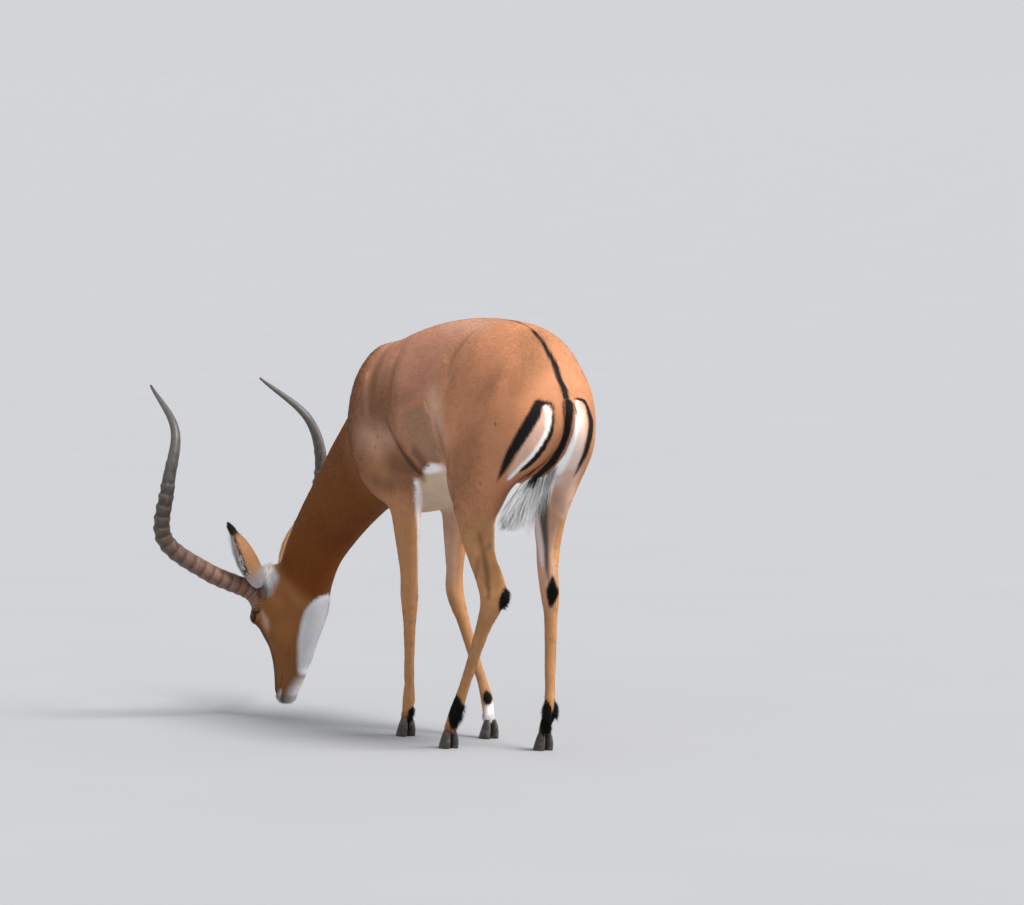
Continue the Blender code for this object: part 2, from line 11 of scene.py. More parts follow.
import bmesh
import bpy
import numpy as np
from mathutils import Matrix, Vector

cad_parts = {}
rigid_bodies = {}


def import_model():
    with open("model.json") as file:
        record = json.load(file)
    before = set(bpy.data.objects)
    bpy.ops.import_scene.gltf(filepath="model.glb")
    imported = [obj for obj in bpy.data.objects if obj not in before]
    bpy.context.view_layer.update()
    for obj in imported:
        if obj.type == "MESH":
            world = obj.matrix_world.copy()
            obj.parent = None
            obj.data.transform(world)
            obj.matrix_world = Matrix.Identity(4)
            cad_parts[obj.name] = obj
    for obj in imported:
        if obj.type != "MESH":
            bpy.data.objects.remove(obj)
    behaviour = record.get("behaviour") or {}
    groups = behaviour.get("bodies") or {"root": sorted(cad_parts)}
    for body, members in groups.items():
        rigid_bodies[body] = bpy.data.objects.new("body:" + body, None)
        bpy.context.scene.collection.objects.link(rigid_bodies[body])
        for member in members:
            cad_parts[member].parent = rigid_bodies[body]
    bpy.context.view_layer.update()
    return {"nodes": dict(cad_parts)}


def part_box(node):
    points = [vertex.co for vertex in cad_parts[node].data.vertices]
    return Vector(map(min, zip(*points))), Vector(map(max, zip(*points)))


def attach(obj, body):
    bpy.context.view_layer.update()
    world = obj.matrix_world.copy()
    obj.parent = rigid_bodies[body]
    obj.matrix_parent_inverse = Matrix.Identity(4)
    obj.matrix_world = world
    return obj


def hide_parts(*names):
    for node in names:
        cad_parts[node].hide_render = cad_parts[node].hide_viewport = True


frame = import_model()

# %% [markdown]
# ## Where the animal stands
# The animal was shaped with the root of its tail over the origin, facing -Y, its left side
# on +X.  All the places below are given in that frame, because markings and folds are then
# easy to think about.  One shift, found from the left eye's solid, moves them into the row.

# %% The animal's own frame
HEAD_TURN = math.radians(20)
HEAD_BASE = np.array((0.140, -1.074, 0.289))
FORWARD = np.array((math.sin(HEAD_TURN), -math.cos(HEAD_TURN), 0.0))
LEFTWARD = np.array((math.cos(HEAD_TURN), math.sin(HEAD_TURN), 0.0))
UP = np.array((0.0, 0.0, 1.0))
EYE_PLACE = (0.0370, -0.020, -0.057)
EYE_RADIUS = 0.0165
SIDES = {"left": 1, "right": -1}


def at_head(left, forward, up):
    """A place given from the midpoint of the horn bases, in the head's own directions."""
    return HEAD_BASE + LEFTWARD * left + FORWARD * forward + UP * up


def unit(vectors):
    """The same directions with length one."""
    return vectors / np.maximum(np.linalg.norm(vectors, axis=-1, keepdims=True), 1e-9)


def eye_centre(side):
    """The middle of one eyeball."""
    return at_head(side * EYE_PLACE[0], *EYE_PLACE[1:])


def eye_look(side):
    """The way one eye looks: outwards, a little ahead and a little up."""
    return unit(LEFTWARD * side + FORWARD * 0.34 + UP * 0.10)


eye_low, eye_high = (np.array(corner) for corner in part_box("eye_left"))
ORIGIN = (eye_low + eye_high) / 2 - eye_centre(SIDES["left"])
ORIGIN[2] = 0.0
print("the animal's origin in the row:", ORIGIN.round(4))

# %% [markdown]
# ## Meshes from arrays
# Fur needs hundreds of thousands of faces.  Blender can make them one by one, but numpy
# arrays handed over in one go are far quicker, so every piece is made that way.

# %% A piece from arrays
def make_piece(name, points, *face_groups, smooth=True):
    """An object from points in the animal's frame and arrays of faces of equal size."""
    mesh = bpy.data.meshes.new(name)
    groups = [np.asarray(group) for group in face_groups if len(group)]
    corners = np.concatenate([group.ravel() for group in groups])
    sizes = np.concatenate([np.full(len(group), group.shape[1]) for group in groups])
    starts = np.cumsum(sizes) - sizes
    mesh.vertices.add(len(points))
    mesh.vertices.foreach_set("co", (np.asarray(points) + ORIGIN).astype(np.float32).ravel())
    mesh.loops.add(len(corners))
    mesh.loops.foreach_set("vertex_index", corners.astype(np.int32))
    mesh.polygons.add(len(sizes))
    mesh.polygons.foreach_set("loop_start", starts.astype(np.int32))
    mesh.update(calc_edges=True)
    mesh.polygons.foreach_set("use_smooth", np.full(len(sizes), smooth))
    obj = bpy.data.objects.new(name, mesh)
    bpy.context.scene.collection.objects.link(obj)
    return obj


def note(obj, **layers):
    """Keep numbers on each corner of a piece, for its finish to read."""
    for name, values in layers.items():
        layer = obj.data.attributes.new(name, "FLOAT", "POINT")
        layer.data.foreach_set("value", np.asarray(values, dtype=np.float32))


def finish_piece(obj, finish, slot, *nodes):
    """Give a piece its material, hang it on the root body and hide the solids it stands for."""
    obj.data.materials.clear()
    obj.data.materials.append(finish)
    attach(obj, "root")
    if nodes:
        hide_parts(*nodes)
    triangles = len(obj.data.loops) - 2 * len(obj.data.polygons)
    print("  ", obj.name, triangles, "triangles")
    return obj


# %% Smooth steps, splines and tubes
def step(values, width=1.0):
    """0 below -width, 1 above +width, with a soft slope between."""
    part = np.clip(np.asarray(values) / (2 * width) + 0.5, 0, 1)
    return part * part * (3 - 2 * part)


def spline(rows, steps):
    """Rows of numbers joined by a smooth curve through all of them (Catmull-Rom)."""
    rows = np.asarray(rows, dtype=float)
    padded = np.vstack([2 * rows[0] - rows[1], rows, 2 * rows[-1] - rows[-2]])
    t = (np.arange(steps) / steps)[:, None]
    spans = []
    for before, start, end, after in zip(padded, padded[1:], padded[2:], padded[3:]):
        spans.append(0.5 * (2 * start + (end - before) * t
                            + (2 * before - 5 * start + 4 * end - after) * t ** 2
                            + (3 * start - before - 3 * end + after) * t ** 3))
    return np.vstack(spans + [rows[-1:]])


def tube(rings):
    """Faces that join rings of equally many corners, with fans at both ends."""
    count, points = rings.shape[:2]
    first = np.arange(count - 1)[:, None] * points + np.arange(points)
    after = np.arange(count - 1)[:, None] * points + (np.arange(points) + 1) % points
    quads = np.stack([first, after, after + points, first + points], axis=-1).reshape(-1, 4)
    corners = rings.reshape(-1, 3)
    ends = np.array([rings[0].mean(axis=0), rings[-1].mean(axis=0)])
    around = np.arange(points)
    foot = np.stack([np.roll(around, -1), around, np.full(points, count * points)], axis=1)
    last = around + (count - 1) * points
    head = np.stack([last, np.roll(last, -1), np.full(points, count * points + 1)], axis=1)
    return np.vstack([corners, ends]), quads, np.vstack([foot, head])


def sections(rows, side_hint, points, roundness=2.0):
    """Cross-sections over rows of (x, y, z, half width, front, back) that stand on the path."""
    places = rows[:, :3]
    tangent = unit(np.gradient(places, axis=0))
    side = np.asarray(side_hint, dtype=float)
    side = unit(side - tangent * (tangent @ side)[:, None])
    rise = np.cross(tangent, side)
    angle = 2 * np.pi * np.arange(points) / points
    cosine = np.sign(np.cos(angle)) * np.abs(np.cos(angle)) ** (2 / roundness)
    sine = np.sign(np.sin(angle)) * np.abs(np.sin(angle)) ** (2 / roundness)
    depth = np.where(sine > 0, rows[:, 4:5], rows[:, 5:6]) * sine
    across = rows[:, 3:4] * cosine
    return places[:, None] + side[:, None] * across[..., None] + rise[:, None] * depth[..., None]


# %% [markdown]
# ## One skin over the flesh
# The solids part the flesh with thin cuts.  On the animal there is one unbroken hide.  A
# voxel remesh swallows the cuts and gives an even net of quads, and a smoothing that keeps
# the volume takes the facets off: strongly on the trunk, lightly on legs and head.

# %% Join and remesh the flesh
FLESH = ("trunk", "neck", "head", "foreleg_left", "foreleg_right", "hind_leg_left", "hind_leg_right")
FILLED = ("eye_left", "eye_right")
CUT_CLOSING = 0.0006
SKIN_CELL = 0.0055


def joined_flesh():
    """The flesh solids in one mesh, each a hair fatter so that the cuts close."""
    joined = bmesh.new()
    for name in FLESH + FILLED:
        shape = bmesh.new()
        shape.from_mesh(frame["nodes"][name].data)
        bmesh.ops.remove_doubles(shape, verts=shape.verts, dist=1e-6)
        shape.normal_update()
        swell = CUT_CLOSING if name in FLESH else -CUT_CLOSING
        for vertex, normal in [(vertex, vertex.normal.copy()) for vertex in shape.verts]:
            vertex.co += normal * swell
        part = bpy.data.meshes.new("part")
        shape.to_mesh(part)
        shape.free()
        joined.from_mesh(part)
    mesh = bpy.data.meshes.new("skin")
    joined.to_mesh(mesh)
    joined.free()
    return mesh


def remeshed(mesh, cell):
    """One closed even net of quads round everything in a mesh."""
    carrier = bpy.data.objects.new("carrier", mesh)
    bpy.context.scene.collection.objects.link(carrier)
    net = carrier.modifiers.new("net", "REMESH")
    net.mode = "VOXEL"
    net.voxel_size = cell
    bpy.context.view_layer.update()
    depsgraph = bpy.context.evaluated_depsgraph_get()
    result = bpy.data.meshes.new_from_object(carrier.evaluated_get(depsgraph))
    bpy.data.objects.remove(carrier)
    return result


skin_mesh = remeshed(joined_flesh(), SKIN_CELL)
print("skin net:", len(skin_mesh.vertices), "corners")


# %% Smooth it and keep its volume
HEAD_MIDDLE = at_head(0, -0.06, -0.08)
RELAX_STRENGTH = 0.5
RELAX_EASED = 0.40
SKIN_ROUNDS = 70


def corners_of(mesh):
    """The corners of a mesh, in the animal's frame."""
    points = np.empty(len(mesh.vertices) * 3, dtype=np.float32)
    mesh.vertices.foreach_get("co", points)
    return points.reshape(-1, 3).astype(float) - ORIGIN


def put_corners(mesh, points):
    """Move the corners of a mesh to places in the animal's frame."""
    mesh.vertices.foreach_set("co", (points + ORIGIN).astype(np.float32).ravel())
    mesh.update()


def normals_of(mesh):
    """The normal at each corner of a mesh."""
    normals = np.empty(len(mesh.vertices) * 3, dtype=np.float32)
    mesh.vertex_normals.foreach_get("vector", normals)
    return normals.reshape(-1, 3).astype(float)


def neighbours_of(mesh):
    """For each corner its neighbours, padded with itself, and how many it has."""
    count = len(mesh.vertices)
    ends = np.empty(len(mesh.edges) * 2, dtype=np.int32)
    mesh.edges.foreach_get("vertices", ends)
    ends = ends.reshape(-1, 2)
    both = np.concatenate([ends, ends[:, ::-1]])
    both = both[np.argsort(both[:, 0], kind="stable")]
    degree = np.bincount(both[:, 0], minlength=count)
    place = np.arange(len(both)) - np.repeat(np.cumsum(degree) - degree, degree)
    table = np.repeat(np.arange(count)[:, None], degree.max(), axis=1)
    table[both[:, 0], place] = both[:, 1]
    return table, degree[:, None]


def relax(values, net, strength, rounds):
    """Draw each corner's value towards the mean of its neighbours, a few times over."""
    table, degree = net
    spare = table.shape[1] - degree
    for _ in range(rounds):
        mean = (values[table].sum(axis=1) - values * spare) / np.maximum(degree, 1)
        values = values + strength * (mean - values)
    return values


def relax_kept(points, net, strength, rounds):
    """Relax, then give back the slow part of what was lost, so that limbs stay as thick."""
    calm = relax(points, net, strength, rounds)
    return calm + relax(points - calm, net, strength, rounds)


def nearness_to_head(points):
    """1 on the head, falling to 0 on the upper neck."""
    return step(0.205 - np.linalg.norm(points - HEAD_MIDDLE, axis=1), 0.03)


def nearness_to_limb(points):
    """1 on the legs, falling to 0 at their tops."""
    return step(0.53 - points[:, 2], 0.05) * step(points[:, 1] + 0.69, 0.01)


skin_points = corners_of(skin_mesh)
skin_net = neighbours_of(skin_mesh)
slender = np.maximum(nearness_to_limb(skin_points), nearness_to_head(skin_points))[:, None]
skin_points = relax_kept(skin_points, skin_net, RELAX_STRENGTH - RELAX_EASED * slender, SKIN_ROUNDS)
put_corners(skin_mesh, skin_points)
print("smoothed skin, z from", skin_points[:, 2].min().round(4), "to", skin_points[:, 2].max().round(4))

# %% [markdown]
# ## Folds of the hide
# Under the hide lie muscles, tendons and bones.  They show as soft swellings and creases.
# A sculptor would press them in with a finger; here a path and a width say where the finger
# runs, and every corner near the path moves along its own normal.

# %% Distance to a path
def path_distance(points, path, widths):
    """Distance of each point to a path, and the width of the stroke beside it."""
    path = np.asarray(path, dtype=float)
    widths = np.interp(np.linspace(0, 1, len(path)), np.linspace(0, 1, len(widths)), widths)
    best = np.full(len(points), 1e9)
    width = np.full(len(points), widths[0])
    for start, end, from_width, to_width in zip(path, path[1:], widths, widths[1:]):
        span = end - start
        part = np.clip((points - start) @ span / max(span @ span, 1e-12), 0, 1)
        distance = np.linalg.norm(points - start - part[:, None] * span, axis=1)
        closer = distance < best
        best = np.where(closer, distance, best)
        width = np.where(closer, from_width + (to_width - from_width) * part, width)
    return best, width


def stroke(points, path, widths, soft=0.003):
    """1 within half the stroke's width of a path, fading over a soft edge."""
    distance, width = path_distance(points, path, widths)
    return step(width / 2 - distance, soft)


def press(points, normals, path, width, depth):
    """Push (or with a negative depth raise) the skin along a path."""
    distance, _ = path_distance(points, path, (width,))
    return points - normals * (depth * np.exp(-(distance / width) ** 2))[:, None]


# %% Refine the head
def refine(mesh, near):
    """Split the faces whose middle answers yes, so that small forms can be shaped."""
    shape = bmesh.new()
    shape.from_mesh(mesh)
    centres = np.array([face.calc_center_median() for face in shape.faces]) - ORIGIN
    chosen = near(centres)
    shape.faces.ensure_lookup_table()
    edges = {edge for index in np.flatnonzero(chosen) for edge in shape.faces[index].edges}
    bmesh.ops.subdivide_edges(shape, edges=list(edges), cuts=1, use_grid_fill=True)
    shape.to_mesh(mesh)
    shape.free()
    mesh.update()


NOSE = at_head(0, -0.070, -0.232)
NOSE_REACH = 0.042
EYE_REACH = 0.034
HEAD_ROUNDS = 6


def near_eye_or_nose(points):
    """Where the skin needs its finest net."""
    near = np.linalg.norm(points - NOSE, axis=1) < NOSE_REACH
    for side in SIDES.values():
        near |= np.linalg.norm(points - eye_centre(side), axis=1) < EYE_REACH
    return near


refine(skin_mesh, lambda points: nearness_to_head(points) > 0.5)
refine(skin_mesh, near_eye_or_nose)
skin_net = neighbours_of(skin_mesh)
skin_points = corners_of(skin_mesh)
head_only = nearness_to_head(skin_points)[:, None]
skin_points = relax_kept(skin_points, skin_net, RELAX_STRENGTH * head_only, HEAD_ROUNDS)
put_corners(skin_mesh, skin_points)
print("skin with a fine head:", len(skin_mesh.vertices), "corners")

# %% [markdown]
# ## Pressing in the folds
# Each stroke below is named for what lies under the hide: the ridge of the shoulder blade,
# the fold of the flank, the groove before the big tendon.  Those above the legs are pressed
# in on both sides, the two on the left hind leg only there, as the right one stands
# differently.

# %% Folds of trunk and legs
# Each fold: path, width, depth (negative raises).
FOLDS = [
    # ridge of the shoulder blade, and the hollows before and behind it
    ([(.097, -.672, .791), (.107, -.660, .752), (.113, -.641, .718), (.118, -.611, .691)], 0.014, -0.0045),
    ([(.102, -.698, .775), (.108, -.736, .717), (.108, -.746, .677), (.114, -.727, .640),
      (.114, -.709, .608), (.121, -.662, .584)], 0.012, 0.0050),
    ([(.083, -.562, .854), (.102, -.560, .815), (.114, -.552, .771), (.120, -.543, .732)], 0.018, 0.0050),
    # hollow before the hip, fold of the flank, fold of the stifle
    ([(.051, -.278, .924), (.083, -.291, .892), (.103, -.309, .852), (.114, -.308, .818)], 0.024, 0.0055),
    ([(.119, -.375, .715), (.115, -.361, .677), (.108, -.351, .646), (.096, -.359, .615)], 0.016, 0.0045),
    ([(.133, -.268, .587), (.127, -.266, .548)], 0.012, 0.0030),
    # crease from the shoulder down to the belly, and the swelling beside it
    ([(.121, -.507, .686), (.117, -.479, .652), (.109, -.459, .623), (.100, -.441, .601),
      (.085, -.436, .575), (.068, -.468, .544)], 0.012, 0.0035),
    ([(.124, -.530, .700), (.121, -.490, .660), (.112, -.460, .635)], 0.014, -0.0020),
    # hind leg: crease over the calf, groove before the big tendon
    ([(.117, -.204, .487), (.101, -.181, .482)], 0.010, 0.0030),
    ([(.096, -.181, .473), (.097, -.195, .440), (.101, -.201, .409), (.099, -.192, .384),
      (.097, -.174, .359)], 0.007, 0.0035),
    # swellings of the rump and over the hip
    ([(.118, -.090, .800), (.126, -.110, .740), (.126, -.130, .680)], 0.030, -0.0030),
    ([(.090, -.200, .900), (.112, -.230, .850), (.124, -.270, .800)], 0.030, -0.0030),
]
BOTH_SIDES_ABOVE = 0.55


def mirrored(path):
    """The same path on the animal's right side."""
    return [(-x, y, z) for x, y, z in path]


skin_normals = normals_of(skin_mesh)
for path, width, depth in FOLDS:
    skin_points = press(skin_points, skin_normals, path, width, depth)
    if path[0][2] > BOTH_SIDES_ABOVE:
        skin_points = press(skin_points, skin_normals, mirrored(path), width, depth)
print("pressed", len(FOLDS), "folds")

# %% [markdown]
# ## The head's small forms
# An antelope's face is thin skin over bone: a ridge above the eye, a hollow before it, a
# hard cheek, a soft muzzle with slit nostrils and a mouth line.  They are pressed in too,
# in the head's own directions, on both sides at once.

# %% Forms of the face
# Each form: path in (left, forward, up), width, depth (negative raises).
FACE_FOLDS = [
    # brow, hollow before the eye, cheek bone and corner of the jaw
    ([(.046, -.006, -.040), (.051, -.018, -.034), (.051, -.034, -.036)], 0.0060, -0.0030),
    ([(.040, .004, -.066), (.037, .000, -.085), (.033, -.010, -.105)], 0.0070, 0.0022),
    ([(.048, -.040, -.078), (.045, -.050, -.100), (.038, -.062, -.130)], 0.0090, -0.0018),
    ([(.050, -.080, -.100), (.047, -.090, -.070), (.044, -.090, -.040)], 0.0120, -0.0018),
    # side of the muzzle, nostril, line of the mouth, and the lips below and before it
    ([(.022, -.052, -.150), (.022, -.058, -.180), (.021, -.060, -.205)], 0.0060, -0.0010),
    ([(.0170, -.0590, -.2230), (.0150, -.0500, -.2350)], 0.0030, 0.0042),
    ([(.0240, -.082, -.190), (.0250, -.076, -.212), (.0230, -.068, -.236)], 0.0022, 0.0026),
    ([(.0260, -.088, -.205), (.0240, -.084, -.228)], 0.0050, -0.0014),
    ([(.0110, -.0480, -.2400), (.0200, -.0560, -.2450)], 0.0040, -0.0012),
]
PHILTRUM = [at_head(0, -.046, -.228), at_head(0, -.050, -.244), at_head(0, -.066, -.252)]


def both_sides(path):
    """A head path on the left and on the right."""
    return [[at_head(side * left, forward, up) for left, forward, up in path] for side in SIDES.values()]


skin_normals = normals_of(skin_mesh)
for path, width, depth in FACE_FOLDS:
    for spots in both_sides(path):
        skin_points = press(skin_points, skin_normals, spots, width, depth)
skin_points = press(skin_points, skin_normals, PHILTRUM, 0.0022, 0.0020)
put_corners(skin_mesh, skin_points)
print("pressed", len(FACE_FOLDS), "forms on each side of the face")

# %% [markdown]
# ## Lids
# A lid is skin drawn over the eyeball with an almond opening.  Inside the almond the skin
# sinks behind the ball; around it the skin lies on the ball as a lid; farther out it flows
# back into the face.

# %% Lids around both eyes
LID = 0.0016
LID_RIM = math.radians(9)
ALMOND_HALF = math.radians(50)
UPPER_LID = math.radians(31)
LOWER_LID = math.radians(25)
DARK_LID, DARK_LID_FADE = math.radians(26), math.radians(5)
LID_REACH, LID_FADE = math.radians(34), math.radians(10)
CREASE_AT, CREASE_WIDTH = math.radians(24), math.radians(7)
CREASE_DEPTH = 0.0010
SUNK_BEHIND = 0.0045
EYE_NEIGHBOURHOOD = 0.030


def almond(points, side):
    """The eye's centre, each point's distance from it, and its angle outside the lids' opening."""
    centre = eye_centre(side)
    outward = eye_look(side)
    corner = unit(FORWARD * 0.70 - UP * 0.72)
    corner = unit(corner - outward * (corner @ outward))
    above = np.cross(outward, corner)
    above = above if above @ UP > 0 else -above
    from_eye = points - centre
    radius = np.linalg.norm(from_eye, axis=1)
    ahead = from_eye @ outward
    along = np.arctan2(from_eye @ corner, ahead)
    upward = np.arctan2(from_eye @ above, ahead)
    bow = np.sqrt(np.clip(1 - (along / ALMOND_HALF) ** 2, 0, 1))
    edge = np.where(upward > 0, UPPER_LID, LOWER_LID) * bow
    outside = np.maximum(np.abs(upward) - edge, (np.abs(along) - ALMOND_HALF) * 0.8)
    outside = np.where(ahead > 0, outside, math.pi)
    return centre, radius, outside


def draw_lids(points, side):
    """Lay the skin over one eyeball as lids, and sink it inside their opening."""
    centre, radius, outside = almond(points, side)
    on_lid = step(outside, LID_RIM * 0.6)
    in_opening = step(-outside - LID_RIM * 0.2, LID_RIM * 0.5)
    lid_radius = EYE_RADIUS + LID * on_lid - SUNK_BEHIND * in_opening
    crease = CREASE_DEPTH * np.exp(-((outside - CREASE_AT) / CREASE_WIDTH) ** 2)
    target = centre + (points - centre) * ((lid_radius - crease) / radius)[:, None]
    near = step(LID_REACH - outside, LID_FADE) * (radius < EYE_NEIGHBOURHOOD)
    lidded = points + (target - points) * near[:, None]
    reached = np.linalg.norm(lidded - centre, axis=1)
    cover = on_lid * np.maximum(0.0, EYE_RADIUS + LID - crease - reached)
    return lidded + (lidded - centre) * (cover / reached)[:, None]


for side in SIDES.values():
    skin_points = draw_lids(skin_points, side)
put_corners(skin_mesh, skin_points)
print("lids drawn")

# %% [markdown]
# ## Markings
# An impala's coat is a map: a red-brown saddle with a crisp lower edge, a paler flank, a
# white belly, a dark neck, white bands and black stripes on the rump, black tufts above the
# hind feet.  Painting it by hand would need an image.  Here each colour is a function of
# place, so skin and hair can both ask it and always agree.  Beside the markings, some
# layers and strokes are painted shade and painted highlights: a darker shoulder, a cream
# belly, shade in creases and on shaded sides, and highlights on ridges and edges.

# %% Lines of the coat's map
SADDLE_EDGE = [(-.72, .600), (-.640, .655), (-.600, .672), (-.554, .694), (-.511, .717), (-.470, .730),
               (-.430, .740), (-.395, .753), (-.360, .770), (-.200, .800)]
SADDLE_REAR = [(.560, -.380), (.753, -.395), (.785, -.364), (.817, -.337), (.852, -.309), (.884, -.282),
               (.914, -.262), (.940, -.240)]
FLANK_FRONT = [(.500, -.470), (.545, -.455), (.584, -.430), (.607, -.431), (.635, -.447), (.666, -.477),
               (.712, -.523), (.740, -.540)]
FLANK_REAR = [(.600, -.362), (.615, -.359), (.646, -.351), (.677, -.361), (.715, -.375), (.753, -.395)]
BELLY_EDGE = [(-.700, .500), (-.600, .512), (-.550, .526), (-.470, .575), (-.423, .604), (-.390, .617),
              (-.364, .624), (-.330, .605), (-.280, .575), (-.200, .560), (-.050, .560)]
NECK_REAR = [(.440, -.640), (.540, -.650), (.584, -.662), (.608, -.705), (.640, -.724), (.677, -.742),
             (.717, -.734), (.775, -.705), (.860, -.700)]
THROAT_FRONT = [(.100, -.122), (.107, -.123), (.140, -.126), (.187, -.1375), (.222, -.148), (.252, -.160),
                (.273, -.174), (.286, -.186), (.296, -.200)]
FACE_FRONT = [(-.26, -.078), (-.20, -.072), (-.15, -.064), (-.10, -.048), (-.06, -.020), (-.03, -.006),
              (.03, .000)]
